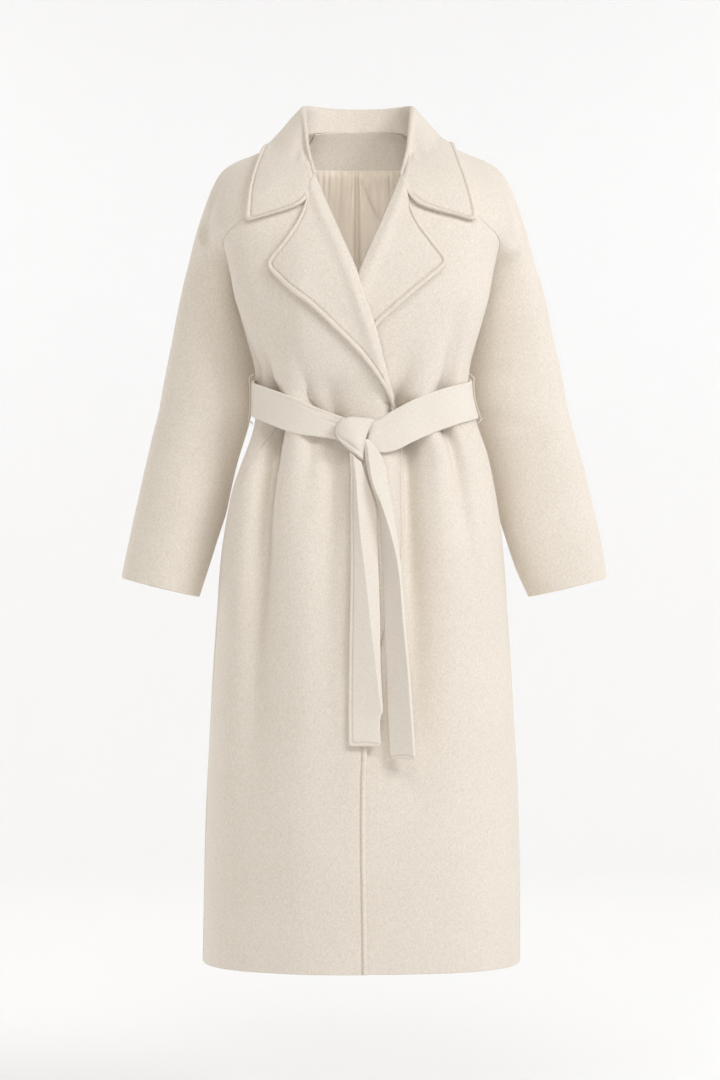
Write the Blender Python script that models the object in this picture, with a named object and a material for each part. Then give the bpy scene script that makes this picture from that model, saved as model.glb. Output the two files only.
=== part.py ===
"""A belted wrap coat in thick brushed wool, filled out and hollow, as if worn.

Every panel is a wall of cloth worked out from level sections of the coat. Tables are in millimetres.
X runs to the wearer's left, Y to the back, Z up; the origin lies between the shoulders at the neck.
"""

from functools import lru_cache

import bmesh
import bpy
import numpy as np

MM = 0.001

WOOL = 3.0
DOUBLED_WOOL = 4.8
LINING_CLOTH = 1.2
SEAM_GAP = 0.25
LAYER_GAP = 1.5
NECK_X = -5.0
HEM_Z = -1160.0

BELT_WIDTH = 46.0
BELT_THICKNESS = 4.0
LOOP_RADIUS = 1.1
FOLD_RADIUS = 6.4

RIM_ANGLE = 0.9
SECTION_POINTS = 361
FRONT_SQUARENESS = 2.55
BACK_SQUARENESS = 2.35
ARM_CENTRE_Y = 15.0
ARM_REACH = 38.0

WOOL_COLOUR = (0.80, 0.73, 0.65)
BELT_COLOUR = (0.83, 0.77, 0.69)
LINING_COLOUR = (0.60, 0.50, 0.39)


def smooth(knots, values, at):
    """Cubic curve through rows of values, with the tangents of neighbouring rows averaged."""
    knots = np.asarray(knots, float)
    values = np.asarray(values, float)
    if knots[0] > knots[-1]:
        knots, values = knots[::-1], values[::-1]
    steps = np.diff(knots)
    steps = steps.reshape((-1,) + (1,) * (values.ndim - 1))
    slopes = np.diff(values, axis=0) / steps
    tangents = np.concatenate([slopes[:1], (slopes[1:] + slopes[:-1]) / 2, slopes[-1:]])
    at = np.clip(np.asarray(at, float), knots[0], knots[-1])
    row = np.clip(np.searchsorted(knots, at, side="right") - 1, 0, len(knots) - 2)
    span = knots[row + 1] - knots[row]
    t = (at - knots[row]) / span
    shape = t.shape + (1,) * (values.ndim - 1)
    t, span = t.reshape(shape), span.reshape(shape)
    rise = t * t * (3 - 2 * t)
    lead = t * (1 - t) ** 2 * span * tangents[row]
    trail = t * t * (t - 1) * span * tangents[row + 1]
    return (1 - rise) * values[row] + rise * values[row + 1] + lead + trail


class Table:
    """Rows of sizes under named columns, read as smooth curves of the first column."""

    def __init__(self, columns, rows):
        self.columns = columns.split()
        self.rows = np.array(rows, float)

    def at(self, name, position):
        """The named column at a position along the first one."""
        return smooth(self.rows[:, 0], self.column(name), position)

    def column(self, name):
        """The named column, a value for each row."""
        return self.rows[:, self.columns.index(name)]

    def points(self, names, position):
        """Several columns at once, as points."""
        return np.stack([self.at(name, position) for name in names.split()], axis=-1)


BODY = Table("z half_width front back widest_y arm_hollow sway", [
    (8, 92, -8, 75, 20, 0, 0),
    (-8, 104, -20, 83, 18, 0, 0),
    (-22, 130, -34, 89, 15, 0, 0),
    (-38, 160, -52, 94, 11, 0, 0),
    (-58, 190, -76, 99, 2, 0, 0),
    (-80, 204, -94, 104, -15, 4, 0),
    (-110, 203, -107, 108, -40, 10, 0),
    (-148, 195, -118, 110, -52, 16, 0),
    (-202, 183, -128, 109, -54, 20, 0),
    (-240, 176, -130, 106, -54, 20, 0),
    (-280, 165, -126, 101, -52, 17, 0),
    (-335, 150, -116, 92, -48, 12, 0),
    (-372, 148, -108, 87, -42, 9, 1),
    (-410, 155, -106, 90, -36, 9, 5),
    (-433, 163, -108, 96, -34, 12, 6),
    (-456, 171, -113, 103, -32, 14, 6),
    (-500, 183, -124, 114, -29, 15, 3),
    (-545, 191, -134, 122, -25, 12, 2),
    (-600, 197.5, -143, 129, -20, 6, 1),
    (-684, 203, -151, 136, -14, 0, 1),
    (-834, 212.5, -158, 146, -9, 0, 1),
    (-976, 218.5, -164, 154, -6, 0, 1),
    (-1160, 221, -170, 165, -5, 0, 0),
])

# A fold is a soft trough that starts at the belt (near) and runs out up or down the cloth (far).
FOLDS = Table("near_z face near_x far_z far_x bend depth width", [
    (-384, -1, -115, -250, -143, 0.60, 11, 11),
    (-396, -1, -62, -300, -92, 0.80, 4, 14),
    (-392, -1, 50, -320, 72, 0.80, 5, 12),
    (-384, -1, 112, -250, 137, 0.60, 11, 11),
    (-410, -1, -117, -690, -137, 0.35, 11, 11),
    (-420, -1, -62, -560, -70, 0.60, 3, 16),
    (-410, -1, 112, -640, 148, 0.45, 11, 12),
    (-372, 1, -98, -230, -112, 0.60, 8, 14),
    (-372, 1, -34, -260, -22, 0.80, 6, 16),
    (-372, 1, 30, -240, 24, 0.80, 7, 15),
    (-372, 1, 94, -250, 112, 0.60, 8, 14),
    (-392, 1, -100, -640, -128, 0.50, 9, 15),
    (-392, 1, -36, -560, -46, 0.60, 7, 18),
    (-392, 1, 28, -600, 34, 0.60, 7, 17),
    (-392, 1, 98, -660, 130, 0.50, 9, 15),
])
FOLD_TAIL = 60.0


def fold_depth(x, face, z):
    """How far the cloth sinks at x on the front (-1) or back (1) at height z, from all its folds."""
    sink = np.zeros_like(x)
    for near_z, side, near_x, far_z, far_x, bend, depth, width in FOLDS.rows:
        along = (z - near_z) / (far_z - near_z)
        if along >= 1 or along <= -FOLD_TAIL / abs(far_z - near_z):
            continue
        inside = max(along, 0.0)
        fade = (1 - inside) ** 1.3 if along > 0 else 1 + along * abs(far_z - near_z) / FOLD_TAIL
        centre = near_x + (far_x - near_x) * inside ** bend
        spread = width * (0.8 + 0.8 * inside)
        sink += np.where(face == side, depth * fade * np.exp(-((x - centre) / spread) ** 2), 0)
    return sink


@lru_cache(maxsize=None)
def section(z, folded=True):
    """Level section of the coat's outer cloth: share of the half girth, points and normals.

    Share 0 is the front centre and 1 and -1 the back centre, on the wearer's left and right.
    Each quarter is a superellipse, pinched where the arm hangs and sunk along the folds.
    """
    half, front, back, widest, hollow, sway = (
        BODY.at(name, z) for name in BODY.columns[1:])
    angle = np.linspace(-np.pi, np.pi, 2 * SECTION_POINTS - 1)
    sine, cosine = np.sin(angle), np.cos(angle)
    power = 2 / np.where(cosine > 0, FRONT_SQUARENESS, BACK_SQUARENESS)
    reach = np.where(cosine > 0, front - widest, back - widest)
    y = widest + reach * np.abs(cosine) ** power
    pinch = hollow * np.exp(-((y - ARM_CENTRE_Y) / ARM_REACH) ** 2)
    x = np.sign(sine) * np.maximum(half * np.abs(sine) ** power - pinch * (np.abs(sine) > 0), 0)
    normal = np.stack([np.gradient(y), -np.gradient(x)], axis=1)
    normal /= np.maximum(np.linalg.norm(normal, axis=1, keepdims=True), 1e-9)
    face = np.where(y < widest, -1, 1)
    sink = fold_depth(x, face, z) if folded else 0 * x
    x, y = x - normal[:, 0] * sink, y - normal[:, 1] * sink
    length = np.concatenate([[0], np.cumsum(np.hypot(np.diff(x), np.diff(y)))])
    middle = length[SECTION_POINTS - 1]
    share = np.where(length < middle, length / middle - 1, (length - middle) / (length[-1] - middle))
    normal = np.stack([np.gradient(y), -np.gradient(x)], axis=1)
    normal /= np.maximum(np.linalg.norm(normal, axis=1, keepdims=True), 1e-9)
    return share, np.stack([x + sway, y], axis=1), normal


def body_point(share, z):
    """Points of the outer cloth at the given shares of the section at height z."""
    shares, points, _ = section(float(z))
    x = np.interp(share, shares, points[:, 0])
    y = np.interp(share, shares, points[:, 1])
    return np.stack([x, y, np.full_like(x, z)], axis=-1)


def share_at_x(x, z):
    """The share where the front of the section at height z stands at x."""
    shares, points, _ = section(float(z))
    front = np.abs(shares) < 0.45
    return float(np.interp(x, points[front, 0], shares[front]))


# Places where the panels meet, as shares of the half girth.
SIDE_SEAM = Table("z share", [
    (-236, 0.595), (-280, 0.580), (-320, 0.545), (-350, 0.495), (-372, 0.450), (-409, 0.400),
    (-474, 0.405), (-600, 0.432), (-800, 0.448), (HEM_Z, 0.461),
])
UNDERARM_Z = -236.0
LOWER_Z = np.array([
    -260, -285, -310, -335, -358, -378, -398, -418, -440, -465, -495, -530, -570, -615, -665, -720,
    -780, -845, -915, -990, -1075, HEM_Z])

# The raglan seams and the top of the sleeve, a row for each section from the neck to the underarm.
SHOULDER = Table(
    "row front_z front_share back_z back_share top_x top_z front_reach top_reach"
    " back_reach front_turn back_turn crease crease_at", [
        (1, -52, 0.196, -8, 0.706, 104, -14, 26, 26, 26, 0.00, 0.00, 0, 0.90),
        (2, -68, 0.208, -20, 0.722, 128, -24, 34, 34, 34, 0.00, 0.00, 0, 0.90),
        (3, -85, 0.231, -36, 0.738, 152, -34, 44, 38, 40, 0.00, 0.00, 2, 0.86),
        (4, -103, 0.261, -56, 0.744, 176, -44, 52, 40, 46, 0.00, 0.00, 5, 0.78),
        (5, -121, 0.293, -78, 0.737, 196, -58, 56, 41, 50, 0.00, 0.00, 8, 0.66),
        (6, -138, 0.333, -102, 0.720, 209, -80, 52, 43, 54, 0.00, 0.05, 9, 0.52),
        (7, -155, 0.385, -126, 0.700, 219, -106, 48, 46, 56, 0.02, 0.20, 8, 0.38),
        (8, -173, 0.440, -152, 0.678, 228, -133, 46, 50, 56, 0.14, 0.42, 4, 0.26),
        (9, -192, 0.498, -180, 0.655, 236, -160, 50, 54, 58, 0.30, 0.62, 0, 0.20),
        (10, -213, 0.552, -208, 0.628, 243, -188, 54, 58, 60, 0.42, 0.80, 0, 0.20),
    ])
SHOULDER_TOP_Y = 12.0

NECKLINE = Table("turn x y z", [
    (0.00, 0, 75, 8), (0.20, 33, 71, 7.5), (0.40, 60, 57, 4.5), (0.55, 75, 36, -1),
    (0.70, 80, 10, -8), (0.82, 78, -14, -20), (0.92, 73, -34, -36), (1.00, 66, -52, -52),
])
NECK_BACK_TURN = 0.42
NECK_TOP_TURN = 0.68
NECK_FRONT_TURN = 0.86
NECK_EDGE_TURN = 0.895

# The sleeve below the underarm: outer and inner outline of each section, its centre and its depth.
ARM = Table("row outer_x outer_z inner_x inner_z outer_y inner_y reach left_outer left_inner lean", [
    (0, 250, -215, 150, -238, 12, 10, 58, 3, 0, 48),
    (1, 258, -251, 150, -275, 15, 13, 62, 4, 0, 46),
    (2, 265, -287, 149, -312, 19, 18, 65, 4, 0, 40),
    (3, 272, -322, 149, -348, 23, 22, 67, 5, 1, 30),
    (4, 279, -357, 152, -384, 25, 24, 68, 6, 3, 20),
    (5, 286, -393, 160, -420, 26, 25, 67, 6, 5, 14),
    (6, 294.5, -431, 172, -458, 25, 25, 66, 7, 3, 12),
    (7, 303, -469, 181.5, -495, 23, 24, 65, 9, 1, 10),
    (8, 312, -509, 190, -535, 20, 20, 65, 9, 1, 6),
    (9, 321.5, -550, 202, -574, 17, 16, 64, 9, 1, 0),
    (10, 330, -590, 214.5, -615, 14, 12, 63, 9, 2, 0),
    (11, 337, -627, 227, -654, 11, 8, 62, 8, 7, 0),
])
ARM_SECTIONS = 13
ARM_HALF_COLUMNS = 9

# The front edges. Above the belt each is the line where the lapel turns over.
TOP_EDGE = Table("z x", [
    (-34, -79), (-52, -71), (-68, -65.5), (-85, -59), (-117, -46), (-171, -22.5), (-208, -7),
    (-248, 6), (-288, 20), (-335, 32.5), (-369, 42), (-396, 47.5), (-448, 52.5), (-524, 55.5),
    (-582, 56), (-640, 50), (-710, 33), (-780, 16), (-854, 8), (HEM_Z, 8),
])
UNDER_EDGE_X = -62.0
OVERLAP_LIFT = Table("z lift", [
    (-100, 0), (-150, 2), (-200, 11.5), (-345, 11.5), (-390, 5), (-430, WOOL + LAYER_GAP),
    (HEM_Z, WOOL + LAYER_GAP),
])
LIFT_STARTS_X = -128.0
LIFT_ENDS_X = -74.0


def overlap_lift(x, z):
    """How far the top front lies off the plain section, over the front and lapel beneath it."""
    rise = np.clip((x - LIFT_STARTS_X) / (LIFT_ENDS_X - LIFT_STARTS_X), 0, 1)
    return OVERLAP_LIFT.at("lift", z) * rise * rise * (3 - 2 * rise)


NECK_SEAM_CLEARANCE = 9.0


def front_edge_x(z):
    """The edge of the top front, drawn back below the collar so that the stand has room."""
    rise = np.clip((z + 116) / 36, 0, 1)
    return float(TOP_EDGE.at("x", z) - NECK_SEAM_CLEARANCE * rise * rise * (3 - 2 * rise))


def under_edge_x(z):
    """The under front's edge: the other one mirrored at the neck, then straight to the hem."""
    return max(2 * NECK_X - front_edge_x(z), UNDER_EDGE_X)


def no_lift(x, z):
    """The under front lies on the plain section."""
    return 0 * x


def neckline(side, turn):
    """Points along the neck seam, from the centre back (0) to the front corner (1) on one side."""
    points = NECKLINE.points("x y z", turn)
    points[..., 0] = NECK_X + side * points[..., 0]
    return points


def unit(vectors):
    """Vectors scaled to length one."""
    return vectors / np.maximum(np.linalg.norm(vectors, axis=-1, keepdims=True), 1e-9)


def grid_normals(grid, inside, wrapped=False):
    """Normals of a grid of points, pointing away from the inside."""
    if wrapped:
        across = np.roll(grid[:, :-1], -1, axis=1) - np.roll(grid[:, :-1], 1, axis=1)
        across = np.concatenate([across, across[:, :1]], axis=1)
    else:
        across = np.gradient(grid, axis=1)
    normals = unit(np.cross(across, np.gradient(grid, axis=0)))
    outward = np.sum(normals * (grid - inside), axis=-1).sum()
    return normals if outward > 0 else -normals


def share_normals(mine, theirs):
    """One normal for two cloths that meet at a seam, unless they meet at a sharp angle."""
    smooth_join = np.sum(mine * theirs, axis=-1, keepdims=True) > 0.45
    return np.where(smooth_join, unit(mine + theirs), mine)


def material(name, colour, roughness):
    """A plain Principled material."""
    made = bpy.data.materials.new(name)
    made.use_nodes = True
    shader = made.node_tree.nodes["Principled BSDF"]
    shader.inputs["Base Color"].default_value = (*colour, 1.0)
    shader.inputs["Roughness"].default_value = roughness
    shader.inputs["Metallic"].default_value = 0.0
    return made


def new_object(name, mesh, colour, roughness=0.95):
    """Put a mesh into the coat's collection under its own name and material."""
    mesh.materials.append(material(name, colour, roughness))
    piece = bpy.data.objects.new(name, mesh)
    bpy.data.collections["wrap_coat"].objects.link(piece)
    return piece


def cloth(name, outer, inner, colour, closed_from=None):
    """A wall of cloth between two grids of points, as one closed body.

    From the row closed_from on, the first and last columns meet and the wall is a tube.
    """
    rows, columns = outer.shape[:2]
    points = np.concatenate([outer.reshape(-1, 3), inner.reshape(-1, 3)]) * MM
    front = np.arange(rows * columns).reshape(rows, columns)
    back = front + rows * columns
    faces = []

    def skin(index, flip):
        corners = (index[:-1, :-1], index[:-1, 1:], index[1:, 1:], index[1:, :-1])
        quads = np.stack([corner.ravel() for corner in corners], axis=1)
        faces.extend((quads[:, ::-1] if flip else quads).tolist())

    skin(front, False)
    skin(back, True)
    rim_rows = rows if closed_from is None else closed_from + 1
    skin(np.stack([back[0], front[0]]), False)
    skin(np.stack([front[-1], back[-1]]), False)
    skin(np.stack([front[:rim_rows, 0], back[:rim_rows, 0]]), False)
    skin(np.stack([back[:rim_rows, -1], front[:rim_rows, -1]]), False)
    mesh = bpy.data.meshes.new(name)
    mesh.from_pydata(points.tolist(), [], faces)
    shape = bmesh.new()
    shape.from_mesh(mesh)
    bmesh.ops.remove_doubles(shape, verts=shape.verts, dist=0.01 * MM)
    bmesh.ops.triangulate(shape, faces=shape.faces)
    bmesh.ops.recalc_face_normals(shape, faces=shape.faces)
    shape.to_mesh(mesh)
    shape.free()
    mesh.shade_smooth()
    mesh.set_sharp_from_angle(angle=RIM_ANGLE)
    return new_object(name, mesh, colour)


# Panels


def front_rows(side, edge_x, columns, lift):
    """Rows of a front from its edge to its seams, neck to hem."""
    spread = np.linspace(0, 1, columns)
    turns = NECK_EDGE_TURN + (NECK_FRONT_TURN - NECK_EDGE_TURN) * spread
    rows = [neckline(side, turns)]
    heights = np.concatenate([SHOULDER.column("front_z"), [UNDERARM_Z], LOWER_Z])
    seam_shares = np.concatenate([
        SHOULDER.column("front_share"), SIDE_SEAM.at("share", np.append(UNDERARM_Z, LOWER_Z))])
    for z, seam_share in zip(heights, seam_shares):
        start = share_at_x(edge_x(z), z)
        shares = start + (side * seam_share - start) * spread
        row = body_point(shares, z)
        shares_all, _, normals = section(float(z))
        raised = lift(row[:, 0], z)
        for axis in (0, 1):
            row[:, axis] += np.interp(shares, shares_all, normals[:, axis]) * raised
        rows.append(row)
    return np.array(rows)


def back_rows(columns):
    """Rows of the back from side to side, neck to hem."""
    spread = np.linspace(-1, 1, columns)
    rows = [neckline(1, np.abs(spread) * NECK_BACK_TURN)]
    rows[0][:, 0] = NECK_X + np.sign(spread) * (rows[0][:, 0] - NECK_X)
    heights = np.concatenate([SHOULDER.column("back_z"), [UNDERARM_Z], LOWER_Z])
    seam_shares = np.concatenate([
        SHOULDER.column("back_share"), SIDE_SEAM.at("share", np.append(UNDERARM_Z, LOWER_Z))])
    for z, seam_share in zip(heights, seam_shares):
        shares = np.sign(spread) - spread * (1 - seam_share)
        shares = np.where(spread == 0, 1.0, shares)
        rows.append(body_point(shares, z))
    return np.array(rows)


def half_arc(start, leaving, end, arriving, spread):
    """A cubic arc from start to end; leaving and arriving are its handles."""
    t = spread[:, None]
    return ((1 - t) ** 3 * start + 3 * t * (1 - t) ** 2 * (start + leaving)
            + 3 * t * t * (1 - t) * (end + arriving) + t ** 3 * end)


def sleeve_rows(side):
    """Rows of a sleeve, each from the front seam over the outside to the back seam."""
    spread = np.linspace(0, 1, ARM_HALF_COLUMNS + 1)
    front_turn = NECK_FRONT_TURN + (NECK_TOP_TURN - NECK_FRONT_TURN) * spread
    back_turn = NECK_TOP_TURN + (NECK_BACK_TURN - NECK_TOP_TURN) * spread
    rows = [neckline(side, np.concatenate([front_turn, back_turn[1:]]))]
    for row in SHOULDER.rows:
        size = dict(zip(SHOULDER.columns, row))
        rows.append(shoulder_row(side, size, spread))
    for place in np.linspace(0, 1, ARM_SECTIONS) * (len(ARM.rows) - 1):
        size = {name: float(ARM.at(name, place)) for name in ARM.columns[1:]}
        rows.append(arm_row(side, size, spread))
    return np.array(rows)


def turned(along, outward, forward, turn):
    """The way a section leaves its seam: along the body, and in the armpit away from it."""
    away = min(1.0, 5 * turn)
    start = unit((1 - away) * along + away * outward)
    return np.cos(turn * np.pi / 2) * start + np.sin(turn * np.pi / 2) * forward


def shoulder_row(side, size, spread):
    """One section of the sleeve's head, leaving both panels along their own surface."""
    front_share, back_share = side * size["front_share"], side * size["back_share"]
    front = body_point(front_share, size["front_z"])
    back = body_point(back_share, size["back_z"])
    step = 0.01 * side
    front_way = unit(body_point(front_share + step, size["front_z"]) - front)
    back_way = unit(body_point(back_share - step, size["back_z"]) - back)
    outward = np.array([side, 0.0, 0.0])
    ahead = np.array([0.0, -1.0, 0.0])
    front_way = turned(front_way, outward, ahead, size["front_turn"])
    back_way = turned(back_way, outward, -ahead, size["back_turn"])
    top = np.array([side * size["top_x"], SHOULDER_TOP_Y, size["top_z"]])
    back_reach = size["back_reach"]
    first = half_arc(front, front_way * size["front_reach"], top, ahead * size["top_reach"], spread)
    second = half_arc(top, -ahead * back_reach, back, back_way * back_reach, spread)
    hollow = size["crease"] * np.exp(-((spread - size["crease_at"]) / 0.13) ** 2)
    hollow *= np.minimum(1, spread * 8)
    first += hollow[:, None] * unit(np.array([-0.5 * side, 0.85, -0.1]))
    return np.concatenate([first, second[1:]])


def arm_row(side, size, spread):
    """One closed section of the arm, starting and ending at its inner seam."""
    left = side > 0
    outer_x = side * (size["outer_x"] + (size["left_outer"] if left else 0))
    inner_x = side * (size["inner_x"] + (size["left_inner"] if left else 0))
    outer = np.array([outer_x, size["outer_y"], size["outer_z"]])
    inner = np.array([inner_x, size["inner_y"], size["inner_z"]])
    ahead = np.array([0.0, -size["reach"], 0.0])
    lean = np.radians(size["lean"])
    leaving = size["reach"] * np.array([side * np.sin(lean), -np.cos(lean), 0.0])
    first = half_arc(inner, leaving, outer, ahead, spread)
    second = half_arc(outer, -ahead, inner, -ahead, spread)
    return np.concatenate([first, second[1:]])


def draw_back(grid, first=True, last=True):
    """Shorten every row a little at its ends, which leaves the seam's gap."""
    grid = grid.copy()
    if first:
        grid[:, 0] += unit(grid[:, 1] - grid[:, 0]) * SEAM_GAP
    if last:
        grid[:, -1] += unit(grid[:, -2] - grid[:, -1]) * SEAM_GAP
    return grid


FRONT_COLUMNS = 17
BACK_COLUMNS = 25
OPEN_ROWS = len(SHOULDER.rows) + 1


def below_cloth(grid):
    """Points along the coat's core line, a little below each point of the grid."""
    return np.stack([0 * grid[..., 0], 0 * grid[..., 1] + 5, grid[..., 2] - 40], axis=-1)


def sleeve_normals(side, grid):
    """Normals of a sleeve: open rows above the underarm, closed rings below it."""
    head = grid_normals(grid[:OPEN_ROWS + 1], np.array([side * 120, 12, -160]))
    centre = grid[OPEN_ROWS:].mean(axis=1, keepdims=True)
    return np.concatenate([head[:OPEN_ROWS], grid_normals(grid[OPEN_ROWS:], centre, wrapped=True)])


def join_normals(arm, front, rear, rear_edge):
    """Share normals along the two raglan seams and the side seam; the arrays are changed in place."""
    arm_front, arm_rear = arm[:OPEN_ROWS, 0].copy(), arm[:OPEN_ROWS, -1].copy()
    arm[:OPEN_ROWS, 0] = share_normals(arm_front, front[:OPEN_ROWS, -1])
    arm[:OPEN_ROWS, -1] = share_normals(arm_rear, rear[:OPEN_ROWS, rear_edge])
    front_side, rear_side = front[OPEN_ROWS:, -1].copy(), rear[OPEN_ROWS:, rear_edge].copy()
    front[:OPEN_ROWS, -1] = share_normals(front[:OPEN_ROWS, -1], arm_front)
    rear[:OPEN_ROWS, rear_edge] = share_normals(rear[:OPEN_ROWS, rear_edge], arm_rear)
    front[OPEN_ROWS:, -1] = share_normals(front_side, rear_side)
    rear[OPEN_ROWS:, rear_edge] = share_normals(rear_side, front_side)


def build_shell():
    """Back, fronts and sleeves; each panel comes back as its outer points and their normals."""
    right = front_rows(-1, front_edge_x, FRONT_COLUMNS, overlap_lift)
    left = front_rows(1, under_edge_x, FRONT_COLUMNS, no_lift)
    back = back_rows(BACK_COLUMNS)
    right_normals, left_normals, back_normals = (
        grid_normals(grid, below_cloth(grid)) for grid in (right, left, back))
    panels = [(right, right_normals), (left, left_normals), (back, back_normals)]
    for side, name, front_normals, rear_edge in (
            (-1, "sleeve_right", right_normals, 0), (1, "sleeve_left", left_normals, -1)):
        arm = sleeve_rows(side)
        normals = sleeve_normals(side, arm)
        join_normals(normals, front_normals, back_normals, rear_edge)
        arm[:OPEN_ROWS] = draw_back(arm[:OPEN_ROWS])
        cloth(name, arm, arm - normals * WOOL, WOOL_COLOUR, closed_from=OPEN_ROWS)
        panels.append((arm, normals))
    for name, grid, normals in (("front_right", right, right_normals), ("front_left", left, left_normals)):
        outer = draw_back(grid, first=False)
        cloth(name, outer, outer - normals * WOOL, WOOL_COLOUR)
    outer = draw_back(back)
    cloth("back", outer, outer - back_normals * WOOL, WOOL_COLOUR)
    return panels


# Lapels, which lie on the fronts


def curve_through(points, count):
    """A smooth curve through the points, cut into equal lengths."""
    points = np.asarray(points, float)
    chord = np.concatenate([[0], np.cumsum(np.linalg.norm(np.diff(points, axis=0), axis=1))])
    fine = smooth(chord, points, np.linspace(0, chord[-1], 20 * count))
    length = np.concatenate([[0], np.cumsum(np.linalg.norm(np.diff(fine, axis=0), axis=1))])
    at = np.linspace(0, length[-1], count)
    return np.stack([np.interp(at, length, fine[:, axis]) for axis in range(fine.shape[1])], axis=1)


def patch(first, last, start, end):
    """A Coons patch: rows run from the first to the last curve, bounded by start and end curves."""
    across = np.linspace(0, 1, len(start))[None, :, None]
    along = np.linspace(0, 1, len(first))[:, None, None]
    ruled = (1 - across) * first[:, None] + across * last[:, None]
    capped = (1 - along) * start[None] + along * end[None]
    corners = ((1 - along) * ((1 - across) * start[0] + across * start[-1])
               + along * ((1 - across) * end[0] + across * end[-1]))
    return ruled + capped - corners


def front_cloth(x, z, lift, folded=True):
    """Points and normals of a front's outer cloth, behind places given by x and z."""
    points, normals = np.zeros((x.size, 3)), np.zeros((x.size, 3))
    for index, (px, pz) in enumerate(zip(x.ravel(), z.ravel())):
        near = [front_depth(px + dx, pz + dz, lift, folded) for dx, dz in ((0, 0), (2, 0), (0, 2))]
        points[index] = px, near[0], pz
        normals[index] = (near[1] - near[0]) / 2, -1, (near[2] - near[0]) / 2
    return points.reshape(x.shape + (3,)), unit(normals).reshape(x.shape + (3,))


def front_depth(x, z, lift, folded):
    """The y of a front's outer cloth at x and z."""
    shares, points, normals = section(float(z), folded)
    front = np.abs(shares) < 0.45
    raised = lift(points[front, 0], z)
    across = points[front, 0] + normals[front, 0] * raised
    depth = points[front, 1] + normals[front, 1] * raised
    return float(np.interp(x, across, depth))


ROLL_TOP_Z = -82.0
ROLL_OVERHANG = 2.5
LAPEL_ROLL_GAP = 0.5
LAPEL_SWELL = 2.5

# Outline of each lapel from the roll line round the notch and the point, and down its free edge.
TOP_LAPEL_HEAD = [(-61, -82), (-75.5, -119.5), (-84, -138), (-100, -164.5), (-121, -186), (-127, -195)]
TOP_LAPEL_EDGE = [(-127, -195), (-119, -210.5), (-95, -235), (-66, -259), (-37.5, -286), (-1, -323),
                  (27.5, -361), (40, -388)]
TOP_LAPEL_END_Z = -390.0
UNDER_LAPEL_HEAD = [(51, -82), (64.5, -120), (73, -138), (90, -162), (110.5, -184), (115, -191)]
UNDER_LAPEL_EDGE = [(115, -191), (108, -207), (86, -225), (50, -256), (21, -283), (-7, -321), (-24, -341)]
UNDER_LAPEL_END_Z = -342.0


def lapel(name, side, head, edge, end_z, lift, along, across):
    """A lapel folded back on its front from the roll line, swelling a little beside the roll."""
    roll_z = np.linspace(ROLL_TOP_Z, end_z, 30)
    roll_x = TOP_EDGE.at("x", roll_z)
    roll_x = roll_x if side < 0 else 2 * NECK_X - roll_x
    roll = curve_through(np.stack([roll_x - side * ROLL_OVERHANG, roll_z], axis=1), along)
    head = [tuple(roll[0])] + head[1:]
    outer = curve_through(edge, along)
    flat = patch(roll, outer, curve_through(head, across), np.linspace(roll[-1], outer[-1], across))
    base, normals = front_cloth(flat[..., 0], flat[..., 1], lift, folded=False)
    share = np.linspace(0, 1, across)[None, :, None]
    width = np.linalg.norm(outer - roll, axis=1)[:, None, None]
    from_roll = share * width
    gap = LAPEL_ROLL_GAP + (LAYER_GAP - LAPEL_ROLL_GAP) * np.clip(from_roll / 12, 0, 1)
    gap = gap + LAPEL_SWELL * np.exp(-((from_roll - 14) / 12) ** 2) * np.clip(width / 40, 0, 1)
    under = base + normals * gap
    cloth(name, under + normals * DOUBLED_WOOL, under, WOOL_COLOUR)


# Collar: stations run from the centre back round one side to the front, and mirror to the other.

COLLAR = Table(
    "station seam_x seam_y seam_z fold_x fold_y fold_z apex_y apex_z"
    " elbow_x elbow_y elbow_z edge_x edge_y edge_z", [
        (0, 0, 73.5, 8.8, 0, 80, 39, -0.10, 1.00, 0, 104, 10, 0, 126, -46),
        (1, 33, 69.5, 8.3, 35, 75, 40, -0.10, 1.00, 43, 100, 11, 58, 123, -48),
        (2, 59, 56, 5.3, 61, 61, 43, -0.10, 1.00, 76, 84, 13, 102, 103, -46),
        (3, 73.5, 35.5, 0, 73.5, 37, 43, -0.05, 1.00, 94, 52, 14, 126, 66, -34),
        (4, 78.5, 10, -7, 75, 8, 37, -0.10, 0.99, 100, 12, 8, 135, 16, -26),
        (5, 77, -12, -16, 72.5, -14, 19, -0.40, 0.90, 102, -20, -10, 141, -26, -44),
        (6, 73, -29, -28, 69.5, -36, -3, -0.70, 0.70, 99, -50, -34, 148, -60, -72),
        (7, 64, -54, -47, 65.5, -62, -31, -0.85, 0.50, 88, -78, -70, 153, -88, -104),
        (8, 55, -84, -70, 56, -94, -76, -0.93, 0.35, 74.5, -108, -110.5, 156, -104, -134),
    ])
COLLAR_STATIONS = 29
COLLAR_FOLD = FOLD_RADIUS - DOUBLED_WOOL / 2
COLLAR_ACROSS = (0, 0.5, 1, 1.6, 2, 2.4, 3, 3.5, 4, 4.35, 4.7, 5)


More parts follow.
